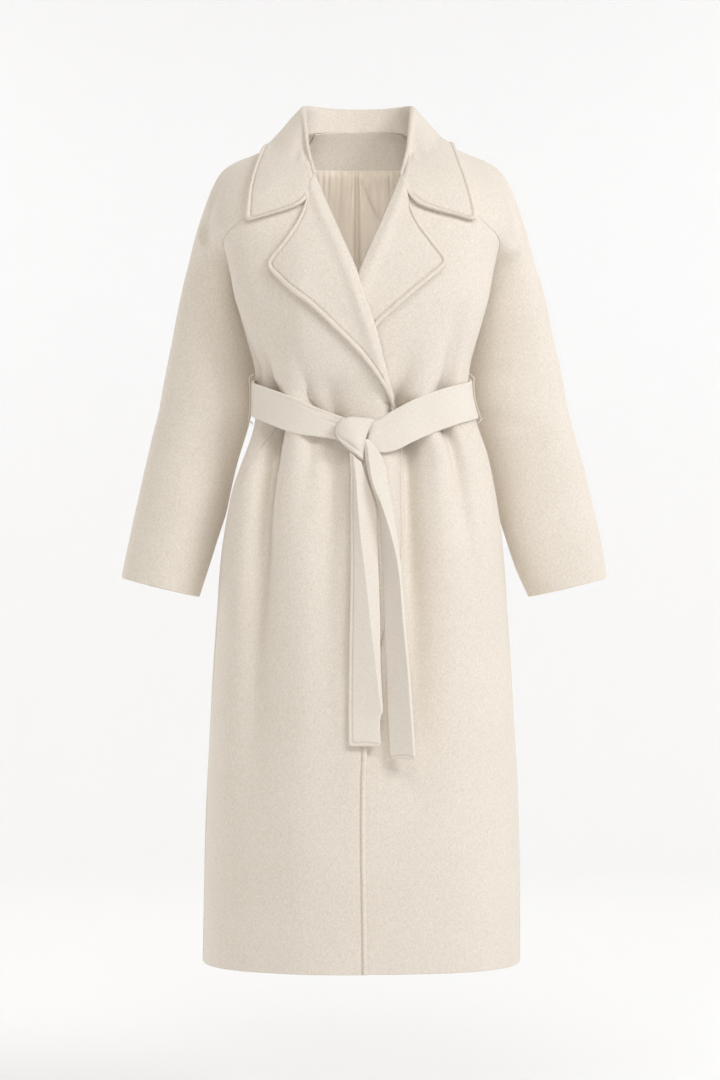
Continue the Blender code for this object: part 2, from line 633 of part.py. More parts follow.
def collar_middle():
    """The middle of the collar's cloth: up the stand, over the fold and down the fall."""
    rows = []
    for station in np.linspace(-8, 8, COLLAR_STATIONS):
        side = -1 if station < 0 else 1
        size = {name: float(COLLAR.at(name, abs(station))) for name in COLLAR.columns[1:]}
        seam, fold, elbow, edge = (
            np.array([size[f"{part}_{axis}"] for axis in "xyz"]) for part in ("seam", "fold", "elbow", "edge"))
        apex = unit(np.array([0, size["apex_y"], size["apex_z"]]))
        fall = elbow - fold
        sideways = unit(fall - (fall @ apex) * apex)
        crown = fold - apex * DOUBLED_WOOL / 2
        rise = np.linalg.norm(crown - seam)
        radius = COLLAR_FOLD * min(1.0, rise / 20)
        inner = crown - apex * radius - sideways * radius
        outer = crown - apex * radius + sideways * radius
        path = np.array([seam, inner, crown, outer, elbow, edge])
        points = smooth(np.arange(len(path)), path, np.array(COLLAR_ACROSS))
        points[:, 0] = NECK_X + side * points[:, 0]
        rows.append(points)
    return np.array(rows)


def lift_clear(points, cloth_points, cloth_normals, gap):
    """Move points outward until each lies at least the gap above the cloth below it."""
    for _ in range(3):
        flat = points.reshape(-1, 3)
        apart = ((flat[:, None] - cloth_points[None]) ** 2).sum(axis=2)
        nearest = apart.argmin(axis=1)
        normals = cloth_normals[nearest]
        height = ((flat - cloth_points[nearest]) * normals).sum(axis=1)
        close = apart[np.arange(len(flat)), nearest] < 40 ** 2
        push = np.where(close, np.maximum(gap - height, 0), 0)
        points = (flat + normals * push[:, None]).reshape(points.shape)
    return points


def refine(grid, times):
    """The grid's flat cells cut finer, for measuring against."""
    rows = np.linspace(0, len(grid) - 1, (len(grid) - 1) * times + 1)
    low = np.minimum(rows.astype(int), len(grid) - 2)
    part = (rows - low).reshape((-1,) + (1,) * (grid.ndim - 1))
    return grid[low] * (1 - part) + grid[low + 1] * part


def cloth_below(grids):
    """Fine points and normals of several panels' outer cloth."""
    points, normals = [], []
    for grid, grid_normal in grids:
        fine = refine(refine(grid, 3).swapaxes(0, 1), 3).swapaxes(0, 1)
        fine_normal = refine(refine(grid_normal, 3).swapaxes(0, 1), 3).swapaxes(0, 1)
        points.append(fine.reshape(-1, 3))
        normals.append(unit(fine_normal).reshape(-1, 3))
    return np.concatenate(points), np.concatenate(normals)


COLLAR_REST_GAP = 3.0


def build_collar(shell):
    """The collar, its fall resting on the shoulders."""
    middle = collar_middle()
    points, normals = cloth_below(shell)
    near = points[:, 2] > -190
    fall = slice(COLLAR_ACROSS.index(3.5), None)
    middle[:, fall] = lift_clear(
        middle[:, fall], points[near], normals[near], COLLAR_REST_GAP + DOUBLED_WOOL / 2)
    inside = middle.mean(axis=(0, 1))
    facing = grid_normals(middle, inside)
    upward = facing[COLLAR_STATIONS // 2, COLLAR_ACROSS.index(2), 2]
    facing = facing if upward > 0 else -facing
    half = facing * DOUBLED_WOOL / 2
    cloth("collar", middle + half, middle - half, WOOL_COLOUR)


# Inside the back: a facing below the neck seam and the half lining that hangs from it

FACING_ROWS = (0.35, 0.7, 1, 1.5, 2, 2.5, 3, 3.5)
FACING_CLOTH = 2.2
FACING_GAP = 0.5
LINING_ROWS = (3.68, 5, 6, 7, 8, 9, 10, 11.5, 13, 15)

# The lining stands in soft gathers below the facing and in one pleat at the centre back.
GATHERS = Table("x depth width runs_down", [
    (-43, 2.6, 5, 120), (-24, 3.0, 4, 90), (-15, 2.2, 3, 60), (-6.5, 6.5, 3.2, 500), (2, 1.6, 4, 70),
    (16, 2.0, 6, 80), (33, 4.2, 6, 260), (50, 2.4, 6, 110),
])
LINING_X = (-100, -80, -64, -54, -47, -41, -33, -27, -22, -17, -12, -9, -6.5, -4, -1, 4, 11, 18, 25, 31, 36,
            43, 52, 64, 78, 92)


def row_between(grid, row):
    """A row of the grid at a fractional place between two of its own."""
    low = min(int(row), len(grid) - 2)
    return grid[low] * (low + 1 - row) + grid[low + 1] * (row - low)


def build_back_inside(back, back_normals):
    """The neck facing and the gathered lining, both kept to the inside of the back's own points."""
    rows = np.array([row_between(back, row)[1:-1] for row in FACING_ROWS])
    normals = unit(np.array([row_between(back_normals, row)[1:-1] for row in FACING_ROWS]))
    face = rows - normals * (WOOL + FACING_GAP)
    cloth("back_neck_facing", face, face - normals * FACING_CLOTH, WOOL_COLOUR)
    face, inner = [], []
    for row in LINING_ROWS:
        points, normals = row_between(back, row), row_between(back_normals, row)
        x = np.array(LINING_X, float)
        place = np.stack([np.interp(x, points[:, 0], points[:, axis]) for axis in range(3)], axis=1)
        normal = unit(np.stack([np.interp(x, points[:, 0], normals[:, axis]) for axis in range(3)], axis=1))
        drop = back[int(LINING_ROWS[0]) + 1, 0, 2] - place[:, 2]
        ripple = sum(depth * np.clip(1 - drop / runs_down, 0, 1) * np.exp(-((x - centre) / width) ** 2)
                     for centre, depth, width, runs_down in GATHERS.rows)
        depth = WOOL + LAYER_GAP + ripple
        face.append(place - normal * depth[:, None])
        inner.append(place - normal * (depth + LINING_CLOTH)[:, None])
    cloth("back_lining", np.array(face), np.array(inner), LINING_COLOUR)


# Belt

BELT_LINE = Table("share z", [
    (-1, -366), (-0.75, -368), (-0.5, -374), (-0.40, -381), (-0.31, -392), (-0.2, -406), (-0.1, -417),
    (0, -426), (0.06, -429), (0.12, -421), (0.2, -405), (0.3, -391), (0.40, -381), (0.5, -374),
    (0.75, -368), (1, -366),
])
BELT_STATIONS = 55
BELT_ROWS = 4
BELT_REST = 1.6
BELT_OPEN_SHARE = 0.002
LIFT_FALLS_X = (50.0, 96.0)


def belt_lift(x, z):
    """The belt's height over the plain section: over the top front, then down to the under front."""
    fall = np.clip((x - LIFT_FALLS_X[0]) / (LIFT_FALLS_X[1] - LIFT_FALLS_X[0]), 0, 1)
    return overlap_lift(x, z) * (1 - fall * fall * (3 - 2 * fall))


def belt_grid():
    """Under face of the belt's band, right round the waist, and its normals."""
    shares = np.linspace(BELT_OPEN_SHARE, 2 - BELT_OPEN_SHARE, BELT_STATIONS)
    shares = np.where(shares > 1, shares - 2, shares)
    shares_all, points, _ = section(-390.0, False)
    half_girth = np.hypot(*np.diff(points, axis=0).T).sum() / 2
    across = np.linspace(-0.5, 0.5, BELT_ROWS) * BELT_WIDTH
    rows, normal_rows = [], []
    for share in shares:
        slope = (BELT_LINE.at("z", share + 0.01) - BELT_LINE.at("z", share - 0.01)) / 0.02 / half_girth
        cosine = 1 / np.hypot(1, slope)
        row, normal_row = [], []
        for offset in across:
            z = float(BELT_LINE.at("z", share) + offset * cosine)
            at = share - offset * slope * cosine / half_girth
            at = at - 2 if at > 1 else at + 2 if at < -1 else at
            ring_shares, ring, normals = section(round(z, 1), False)
            place = np.array([np.interp(at, ring_shares, ring[:, axis]) for axis in (0, 1)])
            normal = unit(np.array([np.interp(at, ring_shares, normals[:, axis]) for axis in (0, 1)]))
            front = place[1] < 0
            lift = float(belt_lift(place[0], z)) if front else 0.0
            place = place + normal * (lift + BELT_REST)
            row.append([place[0], place[1], z])
            normal_row.append([normal[0], normal[1], 0.0])
        rows.append(row)
        normal_rows.append(normal_row)
    return np.array(rows), np.array(normal_rows)


# The knot's front face, seen from the front.
KNOT_TOP = [(-27, -407.5), (-6, -406), (20, -410)]
KNOT_BOTTOM = [(-35, -434), (-17, -452), (3, -468)]
KNOT_LEFT = [(-27, -407.5), (-35.5, -419), (-35, -434)]
KNOT_RIGHT = [(20, -410), (9, -429), (5, -442), (3, -468)]
KNOT_SIDE = 9
KNOT_EDGE = 8.0
KNOT_CROWN = 8.0
KNOT_X = -8.0
KNOT_HALF_WIDTH = 24.0
KNOT_GAP = 0.35

# The two ends of the belt: each is folded along a ridge that wanders across it.
TAIL_A = Table("z left ridge right left_up ridge_up right_up", [
    (-454, -17, -9, 0, 8, 12, 10), (-480, -16, -8, 6, 6, 11, 9), (-527, -16, -5, 20, 2, 10, 6),
    (-573, -16, -1, 22, 1, 9, 4), (-621, -16, 5, 23, 1, 9, 4), (-682, -17, 11.5, 25, 1, 9, 4),
    (-740, -18, 18.5, 26, 1, 8, 5), (-792, -18.5, 23, 26.5, 1, 6, 5), (-852, -19.5, 22, 26.5, 1, 4, 4),
])
TAIL_B = Table("z left ridge right left_up ridge_up right_up", [
    (-447, 8, 14, 24, 5, 9, 7), (-466, 7, 14, 29, 6, 13, 9), (-507, 21, 27, 39, 6, 15, 9),
    (-527, 25, 31, 43, 5, 15, 9), (-565, 26, 39, 48, 4, 15, 10), (-605, 27, 48, 53, 2, 14, 11),
    (-682, 29.5, 55, 59.5, 1, 13, 11), (-741, 32, 61, 64.5, 1, 12, 11), (-810, 34.5, 66, 70, 1, 11, 10),
    (-869, 37, 70, 74.5, 1, 9, 9),
])
TAIL_ROWS = 16
TAIL_REST = 1.4
TAIL_A_SLANT = -0.8
TAIL_SLANT_RUN = 30.0


def tail(name, table, slant=0.0):
    """A hanging end of the belt over the skirt's front; slant is how its top row follows the knot."""
    heights = np.linspace(table.rows[0, 0], table.rows[-1, 0], TAIL_ROWS)
    left, ridge, right = (table.at(column, heights) for column in ("left", "ridge", "right"))
    ups = [table.at(column, heights) for column in ("left_up", "ridge_up", "right_up")]
    x = np.stack([left, (left + ridge) / 2, ridge, (ridge + right) / 2, right], axis=1)
    up = np.stack([ups[0], (ups[0] + ups[1]) / 2, ups[1], (ups[1] + ups[2]) / 2, ups[2]], axis=1)
    z = np.repeat(heights[:, None], x.shape[1], axis=1)
    z = z + slant * (x - x[:, :1]) * np.exp((heights - heights[0]) / TAIL_SLANT_RUN)[:, None]
    base, _ = front_cloth(np.minimum(x, TOP_EDGE.at("x", z) - 1), z, overlap_lift, folded=False)
    y = base[..., 1] - TAIL_REST - up
    under = np.stack([x, y, z], axis=-1)
    normals = grid_normals(under, under.mean(axis=(0, 1)) + np.array([0, 50, 0]))
    cloth(name, under + normals * BELT_THICKNESS, under, BELT_COLOUR)


def build_knot(front_y):
    """The knot: one turn of the belt pulled over the other, crowned and rolled at its edges."""
    sides = [curve_through(points, KNOT_SIDE) for points in (KNOT_TOP, KNOT_BOTTOM, KNOT_LEFT, KNOT_RIGHT)]
    flat = patch(sides[0], sides[1], sides[2], sides[3])
    along = np.linspace(-1, 1, KNOT_SIDE)
    crown = (1 - np.abs(along[:, None]) ** 3) * (1 - np.abs(along[None]) ** 3)
    back = np.concatenate([flat[..., :1], np.full(flat.shape[:2] + (1,), front_y), flat[..., 1:]], axis=2)
    front = back.copy()
    front[..., 1] -= KNOT_EDGE + KNOT_CROWN * crown
    centre = flat.mean(axis=(0, 1))
    shrink = 0.93
    back[..., 0] = centre[0] + (back[..., 0] - centre[0]) * shrink
    back[..., 2] = centre[1] + (back[..., 2] - centre[1]) * shrink
    cloth("belt_knot", front, back, BELT_COLOUR)


def build_belt():
    """The band, its knot and its two ends."""
    under, normals = belt_grid()
    cloth("belt_band", under + normals * BELT_THICKNESS, under, BELT_COLOUR)
    outer = under + normals * BELT_THICKNESS
    near_knot = (np.abs(outer[..., 0] - KNOT_X) < KNOT_HALF_WIDTH) & (outer[..., 1] < 0)
    build_knot(outer[near_knot][:, 1].min() - KNOT_GAP)
    tail("belt_tail_a", TAIL_A, TAIL_A_SLANT)
    tail("belt_tail_b", TAIL_B)


LOOP_SHARE = 0.455
LOOP_TOP_Z = -342.0
LOOP_BOTTOM_Z = -414.0
LOOP_STANDS = 7.4


def belt_loop(name, side):
    """A thread loop on the side seam that holds the belt."""
    path = bpy.data.curves.new(name, "CURVE")
    path.dimensions = "3D"
    path.bevel_depth = LOOP_RADIUS * MM
    path.bevel_resolution = 1
    path.use_fill_caps = True
    spline = path.splines.new("POLY")
    along = np.linspace(0, 1, 11)
    spline.points.add(len(along) - 1)
    for point, t in zip(spline.points, along):
        z = LOOP_TOP_Z + (LOOP_BOTTOM_Z - LOOP_TOP_Z) * t
        shares, points, normals = section(round(float(z), 1), False)
        off = LOOP_RADIUS + 0.35 + LOOP_STANDS * min(1.0, 9 * min(t, 1 - t))
        place = [np.interp(side * LOOP_SHARE, shares, points[:, axis] + normals[:, axis] * off)
                 for axis in (0, 1)]
        point.co = (place[0] * MM, place[1] * MM, z * MM, 1.0)
    loop = bpy.data.objects.new(name, path)
    path.materials.append(material(name, WOOL_COLOUR, 0.95))
    bpy.data.collections["wrap_coat"].objects.link(loop)


def main():
    """Clear the scene and build the coat."""
    for existing in list(bpy.data.objects):
        bpy.data.objects.remove(existing)
    collection = bpy.data.collections.new("wrap_coat")
    bpy.context.scene.collection.children.link(collection)
    shell = build_shell()
    lapel("lapel_right", -1, TOP_LAPEL_HEAD, TOP_LAPEL_EDGE, TOP_LAPEL_END_Z, overlap_lift, 14, 8)
    lapel("lapel_left", 1, UNDER_LAPEL_HEAD, UNDER_LAPEL_EDGE, UNDER_LAPEL_END_Z, no_lift, 12, 8)
    build_collar(shell)
    build_back_inside(*shell[2])
    build_belt()
    belt_loop("belt_loop_right", -1)
    belt_loop("belt_loop_left", 1)


main()
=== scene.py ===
"""Looks of a belted wrap coat in brushed double-faced wool, filled out and hollow as if worn.

Sizes are in millimetres and become metres where a mesh is made. X runs to the wearer's left, Y to
the back and Z up. Every cloth is a surface of two parameters: level sections of the coat give the
panels, curves on the panels give the lapels, and stations along the neck give the collar.
"""

import logging
from dataclasses import dataclass, field
from enum import Enum
from typing import Callable, Sequence

import bpy
import numpy as np
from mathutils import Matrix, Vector


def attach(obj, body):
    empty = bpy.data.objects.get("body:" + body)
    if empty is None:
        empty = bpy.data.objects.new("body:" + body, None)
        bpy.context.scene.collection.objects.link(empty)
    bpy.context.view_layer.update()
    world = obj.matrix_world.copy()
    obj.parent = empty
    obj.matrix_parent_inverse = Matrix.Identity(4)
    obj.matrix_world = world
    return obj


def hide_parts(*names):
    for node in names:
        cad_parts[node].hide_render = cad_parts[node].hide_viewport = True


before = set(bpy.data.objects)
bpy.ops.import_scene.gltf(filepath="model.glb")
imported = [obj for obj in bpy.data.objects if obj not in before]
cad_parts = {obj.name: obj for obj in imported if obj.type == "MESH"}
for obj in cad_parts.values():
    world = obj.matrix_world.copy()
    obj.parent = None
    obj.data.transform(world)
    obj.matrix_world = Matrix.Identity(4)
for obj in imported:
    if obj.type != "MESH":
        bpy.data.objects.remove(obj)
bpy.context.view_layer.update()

LOG = logging.getLogger("wrap_coat")
Array = np.ndarray

MM = 0.001
ROOT = "root"

# Driving sizes of the cloth
WOOL = 3.0
LAPEL_WOOL = 3.4
COLLAR_WOOL = 4.8
BELT_WOOL = 4.0
LINING_CLOTH = 0.8
LAYER_GAP = 1.5
NECK_X = -5.0
HEM_Z = -1160.0
UNDERARM_Z = -236.0
ROW_STEP = 7.0

FRONT_SQUARENESS = 2.55
BACK_SQUARENESS = 2.35
ARM_CENTRE_Y = 15.0
ARM_REACH = 38.0
SECTION_POINTS = 361
CORE_Y = 5
CORE_DROP = 40


class Slot(Enum):
    """The record's material slots."""

    WOOL = "wool"
    BELT = "belt_wool"
    LINING = "lining"
    THREAD = "thread"


class Held(Enum):
    """How a cloth is held."""

    HUNG = "hung"
    FOLDED = "folded"
    GATHERED = "gathered"


# Curves and grids


def smooth(knots: Array, values: Array, at: Array) -> Array:
    """Cubic curve through rows of values, its tangents the mean of the neighbouring slopes.

    Args:
        knots: Places of the rows, rising or falling.
        values: One row for each knot.
        at: Places to read.

    Returns:
        The values there, with the shape of at followed by the shape of a row.
    """
    knots = np.asarray(knots, float)
    values = np.asarray(values, float)
    if knots[0] > knots[-1]:
        knots, values = knots[::-1], values[::-1]
    steps = np.diff(knots).reshape((-1,) + (1,) * (values.ndim - 1))
    slopes = np.diff(values, axis=0) / steps
    tangents = np.concatenate([slopes[:1], (slopes[1:] + slopes[:-1]) / 2, slopes[-1:]])
    at = np.clip(np.asarray(at, float), knots[0], knots[-1])
    row = np.clip(np.searchsorted(knots, at, side="right") - 1, 0, len(knots) - 2)
    span = knots[row + 1] - knots[row]
    t = (at - knots[row]) / span
    shape = t.shape + (1,) * (values.ndim - 1)
    t, span = t.reshape(shape), span.reshape(shape)
    rise = t * t * (3 - 2 * t)
    lead = t * (1 - t) ** 2 * span * tangents[row]
    trail = t * t * (t - 1) * span * tangents[row + 1]
    return (1 - rise) * values[row] + rise * values[row + 1] + lead + trail


def smoothstep(value: Array) -> Array:
    """Zero below 0, one above 1, and 3v² - 2v³ between."""
    value = np.clip(value, 0, 1)
    return value * value * (3 - 2 * value)


def unit(vectors: Array) -> Array:
    """Vectors scaled to length one."""
    return vectors / np.maximum(np.linalg.norm(vectors, axis=-1, keepdims=True), 1e-9)


def soft_minimum(first: Array, second: Array, blend: float) -> Array:
    """The lesser of both, rounded where they differ by less than blend: mix - k·h(1 - h)."""
    share = np.clip(0.5 + 0.5 * (second - first) / blend, 0, 1)
    return second * (1 - share) + first * share - blend * share * (1 - share)


def row_interp(at: Array, known: Array, values: Array) -> Array:
    """Straight interpolation row by row: at is (rows, n), known and values are (rows, m)."""
    return np.stack([np.interp(a, k, v) for a, k, v in zip(at, known, values)])


@dataclass(frozen=True)
class Table:
    """Rows of sizes under named columns, read as smooth curves of the first column."""

    names: str
    rows: Sequence[Sequence[float]]

    def column(self, name: str) -> Array:
        """The named column, a value for each row."""
        return np.array(self.rows, float)[:, self.names.split().index(name)]

    def at(self, name: str, place: Array) -> Array:
        """The named column at places along the first one."""
        return smooth(np.array(self.rows, float)[:, 0], self.column(name), place)


def through(points: Sequence[Sequence[float]] | Array, count: int) -> Array:
    """A smooth curve through the points, cut into equal lengths."""
    points = np.asarray(points, float)
    chord = np.concatenate([[0], np.cumsum(np.linalg.norm(np.diff(points, axis=0), axis=1))])
    fine = smooth(chord, points, np.linspace(0, chord[-1], 12 * count))
    length = np.concatenate([[0], np.cumsum(np.linalg.norm(np.diff(fine, axis=0), axis=1))])
    at = np.linspace(0, length[-1], count)
    return np.stack([np.interp(at, length, fine[:, axis]) for axis in range(fine.shape[1])], axis=1)


def places(widths: Array, count: int, first: Array, last: Array) -> Array:
    """Places from 0 to 1 along rows of the given widths.

    Args:
        widths: Length of each row, in mm.
        count: How many even places lie between the two edges' own.
        first: Distances in mm from the first edge, where the cloth needs fine rows.
        last: The same from the last edge.

    Returns:
        An array (rows, places).
    """
    widths = widths[:, None]
    start = np.minimum(first[None] / widths, 0.45)
    end = 1 - np.minimum(last[None, ::-1] / widths, 0.45)
    between = np.linspace(0, 1, count + 2)[None, 1:-1]
    return np.concatenate([start, start[:, -1:] + (end[:, :1] - start[:, -1:]) * between, end], axis=1)


def round_edge(radius: float) -> Array:
    """Distances from an edge at which a rounded rim of this radius is cut: r(1 - cos a)."""
    return radius * (1 - np.cos(np.radians((0, 25, 50, 70, 90))))


def bilinear(table: Array, row: Array, column: Array) -> Array:
    """A table's values between its four nearest entries.

    Args:
        table: Values, (rows, columns) or (rows, columns, 3).
        row: Fractional rows to read.
        column: Fractional columns, of the same shape.

    Returns:
        The values there.
    """
    low, near = row.astype(int), np.clip(column.astype(int), 0, table.shape[1] - 2)
    shape = row.shape + (1,) * (table.ndim - 2)
    down, right = (row - low).reshape(shape), (column - near).reshape(shape)
    upper = table[low, near] * (1 - right) + table[low, near + 1] * right
    lower = table[low + 1, near] * (1 - right) + table[low + 1, near + 1] * right
    return upper * (1 - down) + lower * down


def corner_inset(from_end: Array, radius: float) -> Array:
    """How far a rounded corner draws each row in: r - sqrt(r² - (r - s)²) at s from the end."""
    short = np.clip(radius - from_end, 0, radius)[:, None]
    return radius - np.sqrt(radius ** 2 - short ** 2)


SEAM_EDGE = round_edge(0.8)
STITCHED_EDGE = np.concatenate([round_edge(2.0), (3.2, 4.4, 5.6, 6.6, 7.3, 8.0, 8.7, 9.6, 11.0, 13.0)])


def lengths(grid: Array, axis: int) -> Array:
    """Length along the grid's lines from their start, for every point."""
    steps = np.linalg.norm(np.diff(grid, axis=axis), axis=2)
    total = np.cumsum(steps, axis=axis)
    return np.concatenate([np.zeros_like(np.take(total, [0], axis=axis)), total], axis=axis)


def grid_normals(grid: Array, away_from: Array, wrapped: bool = False) -> Array:
    """Normals of a grid: the cross product of its two directions, pointing away from a place.

    Args:
        grid: Points, (rows, columns, 3).
        away_from: A place, or one for each point, that lies behind the cloth.
        wrapped: Whether the last column is the first one again.

    Returns:
        Unit normals, one for each point.
    """
    if wrapped:
        ring = grid[:, :-1]
        across = np.roll(ring, -1, axis=1) - np.roll(ring, 1, axis=1)
        across = np.concatenate([across, across[:, :1]], axis=1)
    else:
        across = np.gradient(grid, axis=1)
    normals = unit(np.cross(across, np.gradient(grid, axis=0)))
    outward = np.sum(normals * (grid - away_from), axis=-1).sum()
    return normals if outward > 0 else -normals


def body_core(grid: Array) -> Array:
    """A place inside the coat for each point: near its axis and a little below the point."""
    return np.stack([0 * grid[..., 0], 0 * grid[..., 1] + CORE_Y, grid[..., 2] - CORE_DROP], axis=-1)


def softness(grid: Array, size: float, depth: float, seed: float) -> Array:
    """A slow unevenness of hanging cloth: four crossed sine waves of unlike lengths.

    Args:
        grid: Points in mm.
        size: Length of the longest wave in mm.
        depth: Greatest height in mm.
        seed: Shifts the waves so that no two panels match.

    Returns:
        Heights in mm, one for each point.
    """
    x, y, z = (grid[..., axis] / size for axis in range(3))
    waves = (np.sin(5.1 * x + 1.7 * z + seed) * np.sin(2.3 * z - 3.1 * y + 2 * seed)
             + 0.6 * np.sin(9.7 * x - 4.1 * z + 3 * seed) * np.sin(6.1 * y + 5.3 * z)
             + 0.4 * np.sin(15.1 * x + 11.3 * y - 3.7 * z + seed))
    return depth * waves / 2


# Finishes


NAP_GLOSS = 0.12
# Colour multiplied in along the stitch groove: painted shade in the recess beside the stitched roll.
STITCH_GROOVE_PAINTED_SHADE = (0.90, 0.87, 0.83, 1.0)
Feeds = dict[str | int, object]


def feed(tree: bpy.types.NodeTree, node: bpy.types.Node, feeds: Feeds) -> None:
    """Link a socket to each named input, or set the input's constant."""
    for name, value in feeds.items():
        if isinstance(value, bpy.types.NodeSocket):
            tree.links.new(value, node.inputs[name])
        else:
            node.inputs[name].default_value = value


def add_node(tree: bpy.types.NodeTree, kind: str, feeds: Feeds | None = None,
             **values: object) -> bpy.types.Node:
    """A new node.

    Args:
        tree: Where it goes.
        kind: Its type.
        feeds: A socket or a constant for each input that is not left as it is.
        values: Its properties, which are set before the inputs.

    Returns:
        The node.
    """
    node = tree.nodes.new(kind)
    for name, value in values.items():
        setattr(node, name, value)
    feed(tree, node, feeds or {})
    return node


def maths(tree: bpy.types.NodeTree, operation: str, *terms: object) -> bpy.types.NodeSocket:
    """The result of one operation on sockets or constants."""
    return add_node(tree, "ShaderNodeMath", dict(enumerate(terms)), operation=operation).outputs[0]


def new_group(name: str, inputs: dict[str, float], outputs: Sequence[str]) -> tuple[
        bpy.types.NodeTree, bpy.types.Node, bpy.types.Node]:
    """A node group of float sockets, with its input node and its output node."""
    tree = bpy.data.node_groups.new(name, "ShaderNodeTree")
    for label, default in inputs.items():
        socket = tree.interface.new_socket(label, in_out="INPUT", socket_type="NodeSocketFloat")
        socket.default_value = default
    for label in outputs:
        tree.interface.new_socket(label, in_out="OUTPUT", socket_type="NodeSocketFloat")
    return tree, add_node(tree, "NodeGroupInput"), add_node(tree, "NodeGroupOutput")


def nap_group() -> bpy.types.NodeTree:
    """Brushed nap: three sizes of noise drawn out along the grain, as a tint and as a height."""
    tree, inward, outward = new_group(
        "brushed_nap", {"Fibre Scale": 1300.0, "Clump Scale": 420.0, "Stretch": 1.3}, ("Tint", "Height"))
    place = add_node(tree, "ShaderNodeTexCoord").outputs["Object"]
    squeeze = maths(tree, "DIVIDE", 1.0, inward.outputs["Stretch"])
    stretch = add_node(tree, "ShaderNodeCombineXYZ", {0: 1.0, 1: 1.0, 2: squeeze}).outputs[0]
    grain = add_node(tree, "ShaderNodeVectorMath", {0: place, 1: stretch}, operation="MULTIPLY").outputs[0]
    fibre = add_node(tree, "ShaderNodeTexNoise", {
        "Vector": grain, "Scale": inward.outputs["Fibre Scale"], "Detail": 3.0, "Roughness": 0.65})
    clump = add_node(tree, "ShaderNodeTexNoise", {
        "Vector": grain, "Scale": inward.outputs["Clump Scale"], "Detail": 4.0, "Roughness": 0.6,
        "Distortion": 0.4})
    cloud = add_node(tree, "ShaderNodeTexNoise", {"Vector": place, "Scale": 9.0, "Detail": 2.0})
    fine, coarse, slow = (maths(tree, "MULTIPLY", noise.outputs["Fac"], weight)
                          for noise, weight in ((fibre, 0.34), (clump, 0.56), (cloud, 0.10)))
    both = maths(tree, "ADD", fine, coarse)
    feed(tree, outward, {"Tint": maths(tree, "ADD", both, slow), "Height": both})
    return tree


def stitch_group() -> bpy.types.NodeTree:
    """A row of hand stitches: dashes along the cloth's rim where its distance matches the row.

    The groove, exp(-((rim - row) / width)²), is also painted shade; a stitch is the groove where the dash is
    on.
    """
    tree, inward, outward = new_group(
        "rim_stitches", {"Row Distance": 0.008, "Row Width": 0.0013, "Stitch Length": 0.0042},
        ("Groove", "Thread"))
    rim, along = (add_node(tree, "ShaderNodeAttribute", attribute_name=name).outputs["Fac"]
                  for name in ("rim", "along"))
    off = maths(tree, "SUBTRACT", rim, inward.outputs["Row Distance"])
    ratio = maths(tree, "DIVIDE", off, inward.outputs["Row Width"])
    groove = maths(tree, "EXPONENT", maths(tree, "MULTIPLY", maths(tree, "MULTIPLY", ratio, ratio), -1.0))
    part = maths(tree, "FRACT", maths(tree, "DIVIDE", along, inward.outputs["Stitch Length"]))
    dash = add_node(tree, "ShaderNodeMapRange", {"Value": part, "From Min": 0.30, "From Max": 0.42},
                    interpolation_type="SMOOTHSTEP").outputs[0]
    feed(tree, outward, {"Groove": groove, "Thread": maths(tree, "MULTIPLY", groove, dash)})
    return tree


@dataclass(frozen=True)
class ClothFinish:
    """One cloth's finish: colours, nap, gloss and the stitched row along its rims, with painted shade in its
    groove.
    """

    name: str
    light: tuple[float, float, float]
    dark: tuple[float, float, float]
    roughness: float
    sheen: float
    nap_height: float
    fibre_scale: float
    clump_scale: float
    stretch: float
    stitched: bool = True
    row_distance: float = 8.0

    def make(self) -> bpy.types.Material:
        """Build the material: nap and stitches feed colour, roughness and a bump, with painted shade in the
        groove.
        """
        made = bpy.data.materials.new(self.name)
        made.use_nodes = True
        tree = made.node_tree
        groups = bpy.data.node_groups
        nap = add_node(tree, "ShaderNodeGroup", {
            "Fibre Scale": self.fibre_scale, "Clump Scale": self.clump_scale, "Stretch": self.stretch,
        }, node_tree=groups["brushed_nap"])
        tint, height = nap.outputs["Tint"], nap.outputs["Height"]
        contrast = add_node(tree, "ShaderNodeMapRange", {"Value": tint, "From Min": 0.34, "From Max": 0.66})
        colour = add_node(tree, "ShaderNodeMix", {
            "A": (*self.dark, 1.0), "B": (*self.light, 1.0), "Factor": contrast.outputs["Result"],
        }, data_type="RGBA").outputs["Result"]
        rough = add_node(tree, "ShaderNodeMapRange", {
            "Value": tint, "To Min": self.roughness, "To Max": self.roughness - NAP_GLOSS})
        if self.stitched:
            stitch = add_node(tree, "ShaderNodeGroup", {"Row Distance": self.row_distance * MM},
                              node_tree=groups["rim_stitches"])
            # Painted shade: the colour is darkened along the stitch groove.
            colour = add_node(tree, "ShaderNodeMix", {
                "A": colour, "B": STITCH_GROOVE_PAINTED_SHADE, "Factor": stitch.outputs["Groove"],
            }, data_type="RGBA", blend_type="MULTIPLY").outputs["Result"]
            height = maths(tree, "SUBTRACT", height, stitch.outputs["Thread"])
        bump = add_node(tree, "ShaderNodeBump", {
            "Strength": 0.55, "Distance": self.nap_height * MM, "Height": height})
        feed(tree, tree.nodes["Principled BSDF"], {
            "Base Color": colour, "Roughness": rough.outputs["Result"], "Normal": bump.outputs["Normal"],
            "Sheen Weight": self.sheen, "Sheen Roughness": 0.5, "Specular IOR Level": 0.25})
        return made


